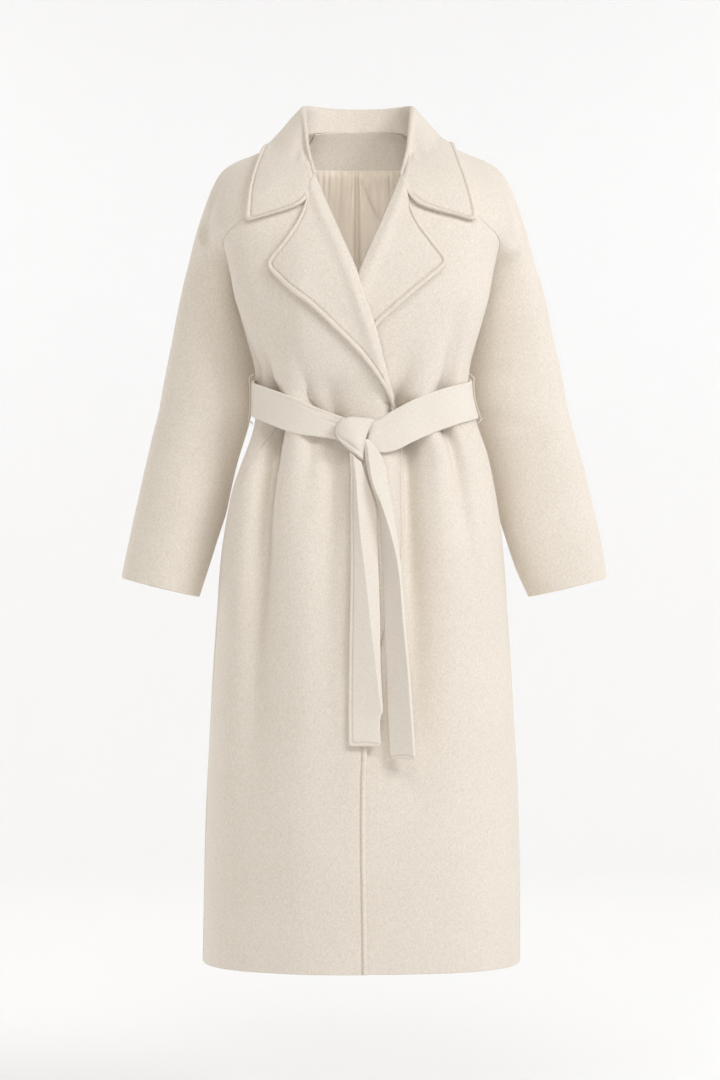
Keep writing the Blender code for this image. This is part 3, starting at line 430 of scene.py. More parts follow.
@dataclass(frozen=True)
class Finishes:
    """All of the coat's finishes, made once."""

    wool: bpy.types.Material
    belt: bpy.types.Material
    lining: bpy.types.Material
    thread: bpy.types.Material

    @staticmethod
    def build() -> "Finishes":
        """Make the shared groups, then each finish."""
        nap_group()
        stitch_group()
        return Finishes(
            wool=ClothFinish("coat_wool", (0.86, 0.80, 0.715), (0.68, 0.61, 0.52), 0.95, 0.3, 0.7,
                             1300, 430, 1.35).make(),
            belt=ClothFinish("belt_wool", (0.855, 0.80, 0.725), (0.73, 0.665, 0.58), 0.95, 0.3, 0.55,
                             1400, 520, 1.2, row_distance=5.5).make(),
            lining=ClothFinish("lining_twill", (0.92, 0.83, 0.71), (0.85, 0.76, 0.64), 0.6, 0.10, 0.05,
                               1800, 90, 5.0, stitched=False).make(),
            thread=ClothFinish("loop_thread", (0.84, 0.77, 0.68), (0.60, 0.52, 0.42), 0.90, 0.3, 0.2,
                               1500, 700, 1.0, stitched=False).make())


# Cloth


@dataclass(frozen=True)
class Rim:
    """How one edge of a cloth is finished.

    The radius rounds it. A stitched edge has a raised roll and a groove beside it, which set in at
    a distance (begins) from the cloth's first edge.
    """

    radius: float = WOOL / 2
    stitched: bool = False
    begins: float = -20.0


@dataclass(frozen=True)
class Stitching:
    """A stitched rim's section: a roll of this height, then a groove at this distance."""

    roll: float = 1.25
    groove: float = 0.9
    groove_at: float = 8.0

    def height(self, distance: Array) -> Array:
        """Gaussian roll midway to the groove, less a narrower Gaussian for the groove itself."""
        roll = self.roll * np.exp(-((distance / self.groove_at - 0.5) / 0.33) ** 2)
        return roll - self.groove * np.exp(-((distance / self.groove_at - 1) / 0.17) ** 2)


BELT_STITCHING = Stitching(0.2, 0.25, 5.5)
SEAM_RIM = Rim(0.8)
PLAIN_RIM = Rim(1.5)
STITCHED_RIM = Rim(2.0, True)
LINING_RIM = Rim(0.4)
FAR = 1000.0
CORNER_BLEND = 6.0
RIM_SETS_IN = 12
RIM_HELD_OFF = 20
SEWN_RADIUS = 0.8


@dataclass
class Cloth:
    """A wall of cloth with four finished edges, built between its outer face and its inner one.

    The wall's half thickness is t/2 * sqrt(1 - (1 - s/r)²) at a distance s from an edge of radius r,
    so that the rims are round and the wall is closed. A stitched edge has a raised roll and a groove.
    """

    name: str
    face: Array
    normals: Array
    thickness: float
    first: Rim = field(default_factory=Rim)
    last: Rim = field(default_factory=Rim)
    top: Rim = field(default_factory=Rim)
    bottom: Rim = field(default_factory=Rim)
    stitching: Stitching = field(default_factory=Stitching)
    both_faces: bool = False

    def edge_distances(self) -> dict[str, Array]:
        """Distance of every point from each of the four edges, along the cloth."""
        across = lengths(self.face, 1)
        along = lengths(self.face, 0)
        return {"first": across, "last": across[:, -1:] - across, "top": along, "bottom": along[-1:] - along}

    def build(self, finish: bpy.types.Material) -> bpy.types.Object:
        """Make the closed mesh, with the rim's distance and the length along it as attributes."""
        distances = self.edge_distances()
        profile = np.ones(self.face.shape[:2])
        rim = np.full(self.face.shape[:2], FAR)
        for edge, distance in distances.items():
            size: Rim = getattr(self, edge)
            sewn = distances["first"] < size.begins
            near = np.clip(distance / np.where(sewn, SEWN_RADIUS, size.radius), 0, 1)
            profile = np.minimum(profile, np.sqrt(np.maximum(1 - (1 - near) ** 2, 0)))
            if size.stitched:
                late = 1 - smoothstep((distances["first"] - size.begins) / RIM_SETS_IN)
                rim = soft_minimum(rim, distance + RIM_HELD_OFF * late, CORNER_BLEND)
        swell = self.stitching.height(rim) * profile
        half = self.thickness / 2
        middle = self.face - self.normals * half
        outer = middle + self.normals * (half * profile + swell)[..., None]
        inner = middle - self.normals * (half * profile + (swell if self.both_faces else 0))[..., None]
        step = np.where(distances["first"] + distances["last"] > 0, distances["top"], 0)
        side_rim = np.minimum(distances["first"], distances["last"]) <= np.minimum(
            distances["top"], distances["bottom"])
        along = np.where(side_rim, step, distances["first"])
        return self.mesh(outer, inner, rim, along, finish)

    def mesh(self, outer: Array, inner: Array, rim: Array, along: Array,
             finish: bpy.types.Material) -> bpy.types.Object:
        """Join both faces of the wall at its four edges, where they share their points."""
        rows, columns = outer.shape[:2]
        index = np.arange(rows * columns).reshape(rows, columns)
        border = np.zeros((rows, columns), bool)
        border[[0, -1]] = True
        border[:, [0, -1]] = True
        behind = np.where(border, index, 0)
        behind[~border] = rows * columns + np.arange((~border).sum())
        points = np.concatenate([outer.reshape(-1, 3), inner[~border]]) * MM
        quads = []
        for grid, flip in ((index, False), (behind, True)):
            corners = (grid[:-1, :-1], grid[:-1, 1:], grid[1:, 1:], grid[1:, :-1])
            face = np.stack([corner.ravel() for corner in corners], axis=1)
            quads.append(face[:, ::-1] if flip else face)
        faces = np.concatenate(quads)
        row, column = middle = rows // 2, columns // 2
        turned = np.cross(outer[row, column + 1] - outer[middle], outer[row + 1, column] - outer[middle])
        if (turned * self.normals[middle]).sum() < 0:
            faces = faces[:, ::-1]
        attributes = {"rim": np.concatenate([rim.ravel(), rim[~border]]) * MM,
                      "along": np.concatenate([along.ravel(), along[~border]]) * MM}
        return mesh_object(self.name, points, faces, attributes, finish)


def mesh_object(name: str, points: Array, faces: Array, attributes: dict[str, Array],
                finish: bpy.types.Material) -> bpy.types.Object:
    """A smooth-shaded mesh object from arrays.

    Args:
        name: The piece's name.
        points: Corners in metres.
        faces: Four corner numbers for each face.
        attributes: Values at the points, by name.
        finish: Its material.

    Returns:
        The object, in the scene and at the origin.
    """
    mesh = bpy.data.meshes.new(name)
    mesh.vertices.add(len(points))
    mesh.vertices.foreach_set("co", points.astype(np.float32).ravel())
    mesh.loops.add(faces.size)
    mesh.loops.foreach_set("vertex_index", faces.astype(np.int32).ravel())
    mesh.polygons.add(len(faces))
    mesh.polygons.foreach_set("loop_start", np.arange(0, faces.size, faces.shape[1], dtype=np.int32))
    mesh.polygons.foreach_set("use_smooth", np.ones(len(faces), bool))
    for key, values in attributes.items():
        layer = mesh.attributes.new(key, "FLOAT", "POINT")
        layer.data.foreach_set("value", values.astype(np.float32))
    mesh.update(calc_edges=True)
    mesh.validate()
    mesh.materials.append(finish)
    piece = bpy.data.objects.new(name, mesh)
    bpy.context.scene.collection.objects.link(piece)
    return piece


def place_piece(piece: bpy.types.Object, node: str) -> None:
    """Let the piece ride on the coat and stand for its node."""
    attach(piece, ROOT)
    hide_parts(node)
    LOG.info("%s: %d faces", piece.name, len(piece.data.polygons))


def sew(cloth: Cloth, node: str, finish: bpy.types.Material) -> bpy.types.Object:
    """Args:
        cloth: The cloth.
        node: The CAD node it stands for.
        finish: Its material.

    Returns:
        The piece.
    """
    piece = cloth.build(finish)
    place_piece(piece, node)
    return piece


# The coat's form


BODY = Table("z half_width front back widest_y arm_hollow sway", [
    (8, 92, -8, 75, 20, 0, 0),
    (-8, 104, -20, 83, 18, 0, 0),
    (-22, 130, -34, 89, 15, 0, 0),
    (-38, 160, -52, 94, 11, 0, 0),
    (-58, 190, -76, 99, 2, 0, 0),
    (-80, 204, -94, 104, -15, 4, 0),
    (-110, 203, -107, 108, -40, 10, 0),
    (-148, 195, -118, 110, -52, 16, 0),
    (-202, 183, -128, 109, -54, 20, 0),
    (-240, 176, -130, 106, -54, 20, 0),
    (-280, 165, -126, 101, -52, 17, 0),
    (-335, 150, -116, 92, -48, 12, 0),
    (-372, 148, -108, 87, -42, 9, 1),
    (-410, 155, -106, 90, -36, 9, 5),
    (-433, 163, -108, 96, -34, 12, 6),
    (-456, 171, -113, 103, -32, 14, 6),
    (-500, 183, -124, 114, -29, 15, 3),
    (-545, 191, -134, 122, -25, 12, 2),
    (-600, 197.5, -143, 129, -20, 6, 1),
    (-684, 203, -151, 136, -14, 0, 1),
    (-834, 212.5, -158, 146, -9, 0, 1),
    (-976, 218.5, -164, 154, -6, 0, 1),
    (-1160, 221, -170, 165, -5, 0, 0),
])

# A fold is a soft trough that starts at the belt (near) and runs out up or down the cloth (far).
FOLDS = Table("near_z face near_x far_z far_x bend depth width", [
    (-384, -1, -124, -225, -156, 0.60, 28, 12),
    (-398, -1, -65, -300, -86, 0.80, 7, 8),
    (-392, -1, 43, -300, 68, 0.80, 17, 10),
    (-384, -1, 108, -235, 134, 0.60, 21, 8.5),
    (-410, -1, -124, -1040, -158, 0.45, 33, 16),
    (-430, -1, -134, -940, -150, 0.40, 6, 30),
    (-420, -1, -73, -560, -78, 0.60, 6, 9),
    (-410, -1, -42, -1000, -48, 0.50, 13, 19),
    (-420, -1, 50, -1000, 76, 0.50, 23, 16),
    (-430, -1, 62, -1050, 84, 0.50, 11, 30),
    (-410, -1, 107, -680, 160, 0.70, 15, 8.5),
    (-600, -1, -128, -1260, -150, 1.00, 5, 40),
    (-600, -1, 60, -1300, 66, 1.00, 6, 36),
    (-384, -1, -94, -240, -116, 0.70, -4, 12),
    (-384, -1, 78, -240, 102, 0.70, -4, 12),
    (-420, -1, -94, -700, -102, 0.50, -4, 14),
    (-420, -1, 84, -760, 122, 0.50, -5, 14),
    (-372, 1, -98, -230, -112, 0.60, 12, 12),
    (-372, 1, -34, -260, -22, 0.80, 9, 14),
    (-372, 1, 30, -240, 24, 0.80, 10, 13),
    (-372, 1, 94, -250, 112, 0.60, 12, 12),
    (-392, 1, -100, -700, -128, 0.50, 14, 13),
    (-392, 1, -36, -600, -46, 0.60, 10, 16),
    (-392, 1, 28, -640, 34, 0.60, 10, 15),
    (-392, 1, 98, -720, 130, 0.50, 14, 13),
    (-620, 1, -60, -1280, -70, 1.00, 6, 40),
    (-620, 1, 66, -1280, 80, 1.00, 6, 40),
])
FOLD_TAIL = 60.0
FOLD_FADE = 1.3
FOLD_START = 0.8
FOLD_GROWS = 0.8


def fold_depth(x: Array, face: Array, z: Array) -> Array:
    """How far the cloth sinks: a sum of Gaussian troughs whose centres wander away from the belt.

    Args:
        x: Places across, (rows, n).
        face: -1 on the front and 1 on the back, (rows, n).
        z: Height of each row, (rows, 1).

    Returns:
        Depths in mm, (rows, n).
    """
    sink = np.zeros_like(x)
    for near_z, side, near_x, far_z, far_x, bend, depth, width in FOLDS.rows:
        run = abs(far_z - near_z)
        along = (z - near_z) / (far_z - near_z)
        inside = np.clip(along, 0, 1)
        fade = np.where(along > 0, (1 - inside) ** FOLD_FADE, np.clip(1 + along * run / FOLD_TAIL, 0, 1))
        centre = near_x + (far_x - near_x) * inside ** bend
        spread = width * (FOLD_START + FOLD_GROWS * inside)
        sink += np.where(face == side, depth * fade * np.exp(-((x - centre) / spread) ** 2), 0)
    return sink


@dataclass(frozen=True)
class Sections:
    """Level sections of the coat's outer cloth, one for each height.

    Share 0 is the front centre; 1 and -1 are the back centre on the wearer's left and right.
    Each quarter is a superellipse, pinched where the arm hangs and sunk along the folds.
    """

    z: Array
    share: Array
    points: Array
    normals: Array
    half_girth: Array

    @staticmethod
    def at(z: Array, folded: bool = True) -> "Sections":
        """Work out the sections at the given heights."""
        z = np.asarray(z, float)
        half, front, back, widest, hollow, sway = (
            BODY.at(name, z)[:, None] for name in BODY.names.split()[1:])
        angle = np.linspace(-np.pi, np.pi, 2 * SECTION_POINTS - 1)[None]
        sine, cosine = np.sin(angle), np.cos(angle)
        power = 2 / np.where(cosine > 0, FRONT_SQUARENESS, BACK_SQUARENESS)
        reach = np.where(cosine > 0, front - widest, back - widest)
        y = widest + reach * np.abs(cosine) ** power
        pinch = hollow * np.exp(-((y - ARM_CENTRE_Y) / ARM_REACH) ** 2)
        x = np.sign(sine) * np.maximum(half * np.abs(sine) ** power - pinch * (np.abs(sine) > 0), 0)
        if folded:
            normal = Sections.outward(x, y)
            sink = fold_depth(x, np.where(y < widest, -1, 1), z[:, None])
            x, y = x - normal[..., 0] * sink, y - normal[..., 1] * sink
        steps = np.hypot(np.diff(x, axis=1), np.diff(y, axis=1))
        length = np.concatenate([np.zeros((len(z), 1)), np.cumsum(steps, axis=1)], axis=1)
        middle = length[:, SECTION_POINTS - 1:SECTION_POINTS]
        share = np.where(length < middle, length / middle - 1,
                         (length - middle) / np.maximum(length[:, -1:] - middle, 1e-9))
        return Sections(z, share, np.stack([x + sway, y], axis=-1), Sections.outward(x, y), middle[:, 0])

    @staticmethod
    def outward(x: Array, y: Array) -> Array:
        """Outward normals of the sections."""
        return unit(np.stack([np.gradient(y, axis=1), -np.gradient(x, axis=1)], axis=-1))

    def point(self, share: Array) -> Array:
        """Points of the outer cloth at the given shares, (rows, n, 3)."""
        x = row_interp(share, self.share, self.points[..., 0])
        y = row_interp(share, self.share, self.points[..., 1])
        return np.stack([x, y, np.repeat(self.z[:, None], share.shape[1], axis=1)], axis=-1)

    def normal(self, share: Array) -> Array:
        """Level normals at the given shares, (rows, n, 3)."""
        x = row_interp(share, self.share, self.normals[..., 0])
        y = row_interp(share, self.share, self.normals[..., 1])
        return unit(np.stack([x, y, 0 * x], axis=-1))

    def share_at_x(self, x: Array) -> Array:
        """The share where each section's front stands at x, one x for each row."""
        front = np.abs(np.linspace(-1, 1, self.share.shape[1])) < 0.47
        return row_interp(x[:, None], self.points[:, front, 0], self.share[:, front])[:, 0]


SIDE_SEAM = Table("z share", [
    (-236, 0.595), (-280, 0.580), (-320, 0.545), (-350, 0.495), (-372, 0.450), (-409, 0.400),
    (-474, 0.405), (-600, 0.432), (-800, 0.448), (HEM_Z, 0.461),
])
LOWER_Z = (-260, -285, -310, -335, -358, -378, -398, -418, -440, -465, -495, -530, -570, -615, -665, -720,
           -780, -845, -915, -990, -1075, HEM_Z)

# The raglan seams and the top of the sleeve, a row for each section from the neck to the underarm.
SHOULDER = Table(
    "row front_z front_share back_z back_share top_x top_z front_reach top_reach"
    " back_reach front_turn back_turn crease crease_at", [
        (1, -52, 0.196, -8, 0.706, 104, -14, 26, 26, 26, 0.00, 0.00, 0, 0.90),
        (2, -68, 0.208, -20, 0.722, 128, -24, 34, 34, 34, 0.00, 0.00, 0, 0.90),
        (3, -85, 0.231, -36, 0.738, 152, -34, 44, 38, 40, 0.00, 0.00, 1.5, 0.86),
        (4, -103, 0.261, -56, 0.744, 176, -44, 52, 40, 46, 0.00, 0.00, 3.5, 0.76),
        (5, -121, 0.293, -78, 0.737, 196, -58, 56, 41, 50, 0.00, 0.00, 5.5, 0.66),
        (6, -138, 0.333, -102, 0.720, 209, -80, 52, 43, 54, 0.01, 0.06, 6, 0.55),
        (7, -155, 0.385, -126, 0.700, 219, -106, 48, 46, 56, 0.05, 0.20, 5, 0.45),
        (8, -173, 0.440, -152, 0.678, 228, -133, 46, 50, 56, 0.15, 0.42, 3, 0.37),
        (9, -192, 0.498, -180, 0.655, 236, -160, 50, 54, 58, 0.29, 0.62, 1.5, 0.30),
        (10, -213, 0.552, -208, 0.628, 243, -188, 54, 58, 60, 0.42, 0.80, 0.6, 0.25),
    ])
SHOULDER_TOP_Y = 12.0

NECKLINE = Table("turn x y z", [
    (0.00, 0, 75, 8), (0.20, 33, 71, 7.5), (0.40, 60, 57, 4.5), (0.55, 75, 36, -1),
    (0.70, 80, 10, -8), (0.82, 78, -14, -20), (0.92, 73, -34, -36), (1.00, 66, -52, -52),
])
NECK_BACK_TURN = 0.42
NECK_TOP_TURN = 0.68
NECK_FRONT_TURN = 0.86
NECK_EDGE_TURN = 0.895

# The sleeve below the underarm: outer and inner outline of each section, its centre and its depth.
ARM = Table("row outer_x outer_z inner_x inner_z outer_y inner_y reach left_outer left_inner lean", [
    (0, 250, -215, 150, -238, 12, 10, 58, 3, 0, 48),
    (1, 258, -251, 150, -275, 15, 13, 62, 4, 0, 46),
    (2, 265, -287, 149, -312, 19, 18, 65, 4, 0, 40),
    (3, 272, -322, 149, -348, 23, 22, 67, 5, 1, 30),
    (4, 279, -357, 152, -384, 25, 24, 68, 6, 3, 20),
    (5, 286, -393, 160, -420, 26, 25, 67, 6, 5, 14),
    (6, 294.5, -431, 172, -458, 25, 25, 66, 7, 3, 12),
    (7, 303, -469, 181.5, -495, 23, 24, 65, 9, 1, 10),
    (8, 312, -509, 190, -535, 20, 20, 65, 9, 1, 6),
    (9, 321.5, -550, 202, -574, 17, 16, 64, 9, 1, 0),
    (10, 330, -590, 214.5, -615, 14, 12, 63, 9, 2, 0),
    (11, 337, -627, 227, -654, 11, 8, 62, 8, 7, 0),
])

# The front edges. Above the belt each is the line where the lapel turns over.
TOP_EDGE = Table("z x", [
    (-34, -79), (-52, -71), (-68, -65.5), (-85, -59), (-117, -46), (-171, -22.5), (-208, -7),
    (-248, 6), (-288, 20), (-335, 32.5), (-369, 42), (-396, 47.5), (-448, 52.5), (-524, 55.5),
    (-582, 56), (-640, 50), (-710, 33), (-780, 16), (-854, 8), (HEM_Z, 8),
])
UNDER_EDGE_X = -62.0
OVERLAP_LIFT = Table("z lift", [
    (-100, 0), (-150, 2), (-200, 11.5), (-345, 11.5), (-390, 5), (-430, WOOL + LAYER_GAP),
    (HEM_Z, WOOL + LAYER_GAP),
])
LIFT_STARTS_X = -128.0
LIFT_ENDS_X = -74.0
ROLL_SETBACK = 4.1
ROLL_ENDS_Z = -398.0
ROLL_FADES_OVER = 22.0
NECK_CLEARANCE = 6.0


def overlap_lift(x: Array, z: Array) -> Array:
    """How far the top front lies off the plain section, over the front and lapel beneath it."""
    return OVERLAP_LIFT.at("lift", z) * smoothstep((x - LIFT_STARTS_X) / (LIFT_ENDS_X - LIFT_STARTS_X))


def no_lift(x: Array, z: Array) -> Array:
    """The under front lies on the plain section."""
    return 0 * (x + z)


def front_edge_x(z: Array) -> Array:
    """The top front's edge: inside the lapel's roll above the belt, and free below it."""
    setback = ROLL_SETBACK * smoothstep((z - ROLL_ENDS_Z) / ROLL_FADES_OVER)
    return TOP_EDGE.at("x", z) - setback - NECK_CLEARANCE * smoothstep((z + 116) / 36)


def under_edge_x(z: Array) -> Array:
    """The under front's edge: the other one mirrored at the neck, then straight to the hem."""
    return np.maximum(2 * NECK_X - front_edge_x(z), UNDER_EDGE_X)


def neckline(side: int, turn: Array) -> Array:
    """Points along the neck seam, from the centre back (0) to the front corner (1) on one side."""
    x, y, z = (NECKLINE.at(name, turn) for name in "xyz")
    return np.stack([NECK_X + side * x, y, z], axis=-1)


def panel_rows(top: float, last_row: int = 33) -> Array:
    """Row numbers from the first seam row to the hem, about ROW_STEP apart, closer at the rim.

    Args:
        top: The row to start from.
        last_row: The number of the hem's row.

    Returns:
        Fractional row numbers; whole ones are the CAD's own rows.
    """
    head = np.arange(top, 11, 1 / 3)
    knots = np.array((UNDERARM_Z,) + LOWER_Z)
    heights = np.concatenate([np.arange(UNDERARM_Z, HEM_Z + 14, -ROW_STEP), HEM_Z + STITCHED_EDGE[::-1]])
    return np.concatenate([head, np.interp(-heights, -knots, np.arange(11, last_row + 1))])


def seam_table(z_name: str, share_name: str) -> tuple[Array, Array]:
    """Heights and shares of one panel's seam, a value for each row from the shoulder to the hem."""
    lower = np.array((UNDERARM_Z,) + LOWER_Z)
    heights = np.concatenate([SHOULDER.column(z_name), lower])
    return heights, np.concatenate([SHOULDER.column(share_name), SIDE_SEAM.at("share", lower)])


def neck_rows(first: Array, body: Array, count: int) -> Array:
    """Rows between the neck seam and the first section, on a cubic through the rows below."""
    knots = np.stack([first, body[0], body[3], body[6]])
    return smooth(np.arange(4), knots, np.arange(count) / count)


NECK_ROWS = 7
PANEL_ROWS = np.arange(1, 34)


@dataclass
class Fronts:
    """Both fronts: the wearer's right one lies on top of the left one."""

    finishes: Finishes
    count: int = 84

    def grid(self, side: int, edge_x: Callable[[Array], Array],
             lift: Callable[[Array, Array], Array]) -> Array:
        """A front's outer face: rows are level, columns run from the free edge to the seams."""
        heights, seam = seam_table("front_z", "front_share")
        rows = panel_rows(1)
        z = smooth(PANEL_ROWS, heights, rows)
        sections = Sections.at(z)
        start = sections.share_at_x(edge_x(z))
        end = side * smooth(PANEL_ROWS, seam, rows)
        widths = np.abs(end - start) * sections.half_girth
        at = places(widths, self.count, STITCHED_EDGE, SEAM_EDGE)
        shares = start[:, None] + (end - start)[:, None] * at
        body = sections.point(shares)
        body += sections.normal(shares) * lift(body[..., 0], body[..., 2])[..., None]
        spread = at[0]
        turns = NECK_EDGE_TURN + (NECK_FRONT_TURN - NECK_EDGE_TURN) * spread
        return np.concatenate([neck_rows(neckline(side, turns), body, NECK_ROWS), body])

    def build(self) -> dict[int, tuple[Array, Array]]:
        """Sew both fronts and return their faces and normals by side."""
        made = {}
        for side, edge_x, lift, name in ((-1, front_edge_x, overlap_lift, "front_right"),
                                         (1, under_edge_x, no_lift, "front_left")):
            grid = self.grid(side, edge_x, lift)
            normals = grid_normals(grid, body_core(grid))
            from_edge = smoothstep((lengths(grid, 1) - 12) / 50)
            grid = grid + normals * (from_edge * softness(grid, 260, 1.1, 1.3 + side))[..., None]
            made[side] = (grid, normals)
            cloth = Cloth("coat_" + name, grid, normals, WOOL, first=STITCHED_RIM, last=SEAM_RIM,
                          top=SEAM_RIM, bottom=PLAIN_RIM)
            sew(cloth, name, self.finishes.wool)
        return made


@dataclass
class Back:
    """The back panel, between the back raglan seams and the side seams."""

    finishes: Finishes
    count: int = 150

    def build(self) -> tuple[Array, Array]:
        """Sew the back and return its face and normals."""
        heights, seam = seam_table("back_z", "back_share")
        rows = panel_rows(1)
        z = smooth(PANEL_ROWS, heights, rows)
        sections = Sections.at(z)
        reach = 1 - smooth(PANEL_ROWS, seam, rows)
        widths = 2 * reach * sections.half_girth
        at = places(widths, self.count, SEAM_EDGE, SEAM_EDGE)
        spread = 2 * at - 1
        shares = np.where(spread < 0, -1, 1) - spread * reach[:, None]
        body = sections.point(shares)
        first = neckline(1, np.abs(spread[0]) * NECK_BACK_TURN)
        first[:, 0] = NECK_X + np.sign(spread[0]) * (first[:, 0] - NECK_X)
        grid = np.concatenate([neck_rows(first, body, NECK_ROWS), body])
        normals = grid_normals(grid, body_core(grid))
        grid = grid + normals * softness(grid, 300, 1.2, 4.7)[..., None]
        cloth = Cloth("coat_back", grid, normals, WOOL, first=SEAM_RIM, last=SEAM_RIM, top=SEAM_RIM,
                      bottom=PLAIN_RIM)
        sew(cloth, "back", self.finishes.wool)
        return grid, normals


def half_arc(start: Array, leaving: Array, end: Array, arriving: Array, spread: Array) -> Array:
    """Cubic arcs from start to end, one for each row; leaving and arriving are their handles.

    Every argument is (rows, 3) but spread, which is (rows, n).
    """
    t = spread[..., None]
    start, leaving, end, arriving = (part[:, None] for part in (start, leaving, end, arriving))
    return ((1 - t) ** 3 * start + 3 * t * (1 - t) ** 2 * (start + leaving)
            + 3 * t * t * (1 - t) * (end + arriving) + t ** 3 * end)


# Soft creases of the sleeve: height, place round the arm (0 front seam, 1 outside, 2 back seam).
SLEEVE_CREASES = Table("z round depth half_height half_round slope", [
    (-300, 0.55, 1.2, 18, 0.30, 0.5), (-352, 0.35, 1.5, 15, 0.34, -0.4), (-385, 0.62, 1.6, 15, 0.36, 0.3),
    (-418, 0.30, 1.8, 13, 0.30, -0.5), (-452, 0.58, 1.2, 17, 0.32, 0.4), (-372, 1.55, 2.4, 14, 0.36, 0.3),
    (-410, 1.40, 2.2, 14, 0.34, -0.4), (-560, 0.45, 1.0, 24, 0.26, 0.6), (-250, 1.50, 2.0, 20, 0.30, -0.5),
])


@dataclass
class Sleeves:
    """Raglan sleeves: open rows above the underarm, closed rings below it, ending at the cuff."""

    finishes: Finishes
    half_count: int = 44

    def spread(self, rows: int) -> tuple[Array, Array]:
        """Places along both halves of each row, fine next to the seams."""
        widths = np.full(rows, 170.0)
        first = places(widths, self.half_count, SEAM_EDGE, np.array([0.0]))
        second = places(widths, self.half_count, np.array([0.0]), SEAM_EDGE)
        return first, second[:, 1:]

    def head(self, side: int, rows: Array) -> Array:
        """The sleeve's head: each row leaves both panels along their own surface."""
        size = {name: SHOULDER.at(name, rows) for name in SHOULDER.names.split()[1:]}
        ends = {}
        for part in ("front", "back"):
            sections = Sections.at(size[part + "_z"])
            share = side * size[part + "_share"][:, None]
            step = 0.01 * side * (1 if part == "front" else -1)
            place = sections.point(share)[:, 0]
            ends[part] = (place, unit(sections.point(share + step)[:, 0] - place))
        ahead = np.array([[0.0, -1.0, 0.0]])
        first, second = self.spread(len(rows))
        top = np.stack([side * size["top_x"], 0 * rows + SHOULDER_TOP_Y, size["top_z"]], axis=1)
        ways = {}
        for part, forward in (("front", ahead), ("back", -ahead)):
            turn = size[part + "_turn"][:, None]
            away = np.minimum(1.0, 5 * turn)
            start = unit((1 - away) * ends[part][1] + away * np.array([[side, 0.0, 0.0]]))
            ways[part] = np.cos(turn * np.pi / 2) * start + np.sin(turn * np.pi / 2) * forward
        back_reach = size["back_reach"][:, None]
        forepart = half_arc(ends["front"][0], ways["front"] * size["front_reach"][:, None], top,
                            ahead * size["top_reach"][:, None], first)
        rear = half_arc(top, -ahead * back_reach, ends["back"][0], ways["back"] * back_reach, second)
        hollow = size["crease"][:, None] * np.exp(-((first - size["crease_at"][:, None]) / 0.13) ** 2)
        hollow = hollow * np.minimum(1, first * 8)
        forepart = forepart + hollow[..., None] * unit(np.array([-0.5 * side, 0.85, -0.1]))
        return np.concatenate([forepart, rear], axis=1)

    def arm(self, side: int, rows: Array) -> Array:
        """Closed rings of the arm, each starting and ending at its inner seam."""
        size = {name: ARM.at(name, rows) for name in ARM.names.split()[1:]}
        left = 1.0 if side > 0 else 0.0
        outer = np.stack([side * (size["outer_x"] + left * size["left_outer"]), size["outer_y"],
                          size["outer_z"]], axis=1)
        inner = np.stack([side * (size["inner_x"] + left * size["left_inner"]), size["inner_y"],
                          size["inner_z"]], axis=1)
        reach = size["reach"][:, None]
        ahead = np.array([[0.0, -1.0, 0.0]]) * reach
        lean = np.radians(size["lean"])
        leaving = reach * np.stack([side * np.sin(lean), -np.cos(lean), 0 * lean], axis=1)
        first, second = self.spread(len(rows))
        return np.concatenate([half_arc(inner, leaving, outer, ahead, first),
                               half_arc(outer, -ahead, inner, -ahead, second)], axis=1)

    def grid(self, side: int) -> Array:
        """The whole sleeve: neck rows, head and rings, on one cubic down its length."""
        head = self.head(side, np.arange(1, 11, 1 / 3)[:-2])
        ring_rows = np.linspace(0, 11, 34)
        rings = self.arm(side, ring_rows)
        first, second = self.spread(1)
        turns = np.concatenate([NECK_FRONT_TURN + (NECK_TOP_TURN - NECK_FRONT_TURN) * first[0],
                                NECK_TOP_TURN + (NECK_BACK_TURN - NECK_TOP_TURN) * second[0]])
        neck = neck_rows(neckline(side, turns), head, NECK_ROWS)
        coarse = np.concatenate([neck, head, rings])
        down = lengths(coarse, 0).mean(axis=1)
        fine = np.concatenate([down[:NECK_ROWS], np.arange(down[NECK_ROWS], down[-1] - 14, 6.0),
                               down[-1] - STITCHED_EDGE[::-1]])
        return smooth(down, coarse, fine)

    def creased(self, side: int, grid: Array, normals: Array) -> Array:
        """Press the listed creases into the sleeve: slanted Gaussian troughs."""
        first, second = self.spread(1)
        around = np.concatenate([first[0], 1 + second[0]])[None]
        sink = np.zeros(grid.shape[:2])
        for z, centre, depth, half_height, half_round, slope in SLEEVE_CREASES.rows:
            shift = 9.0 * side
            off = grid[..., 2] - (z + shift) - slope * 60 * (around - centre)
            sink += depth * np.exp(-(off / half_height) ** 2 - ((around - centre) / half_round) ** 2)
        return grid - normals * sink[..., None]

    def build(self) -> dict[int, tuple[Array, Array]]:
        """Sew both sleeves and return their faces and normals by side."""
        made = {}
        for side, name in ((-1, "sleeve_right"), (1, "sleeve_left")):
            grid = self.grid(side)
            centre = grid.mean(axis=1, keepdims=True) + np.array([0, 0, -25.0])
            normals = grid_normals(grid, centre)
            rings = grid[..., 2].mean(axis=1) < UNDERARM_Z - 8
            closed = grid_normals(grid[rings], centre[rings], wrapped=True)
            normals[rings] = closed
            grid = self.creased(side, grid, normals)
            grid = grid + normals * softness(grid, 220, 1.0, 7.1 + side)[..., None]
            made[side] = (grid, normals)
            cloth = Cloth("coat_" + name, grid, normals, WOOL, first=SEAM_RIM, last=SEAM_RIM, top=SEAM_RIM,
                          bottom=PLAIN_RIM)
            sew(cloth, name, self.finishes.wool)
        return made


# Lapels


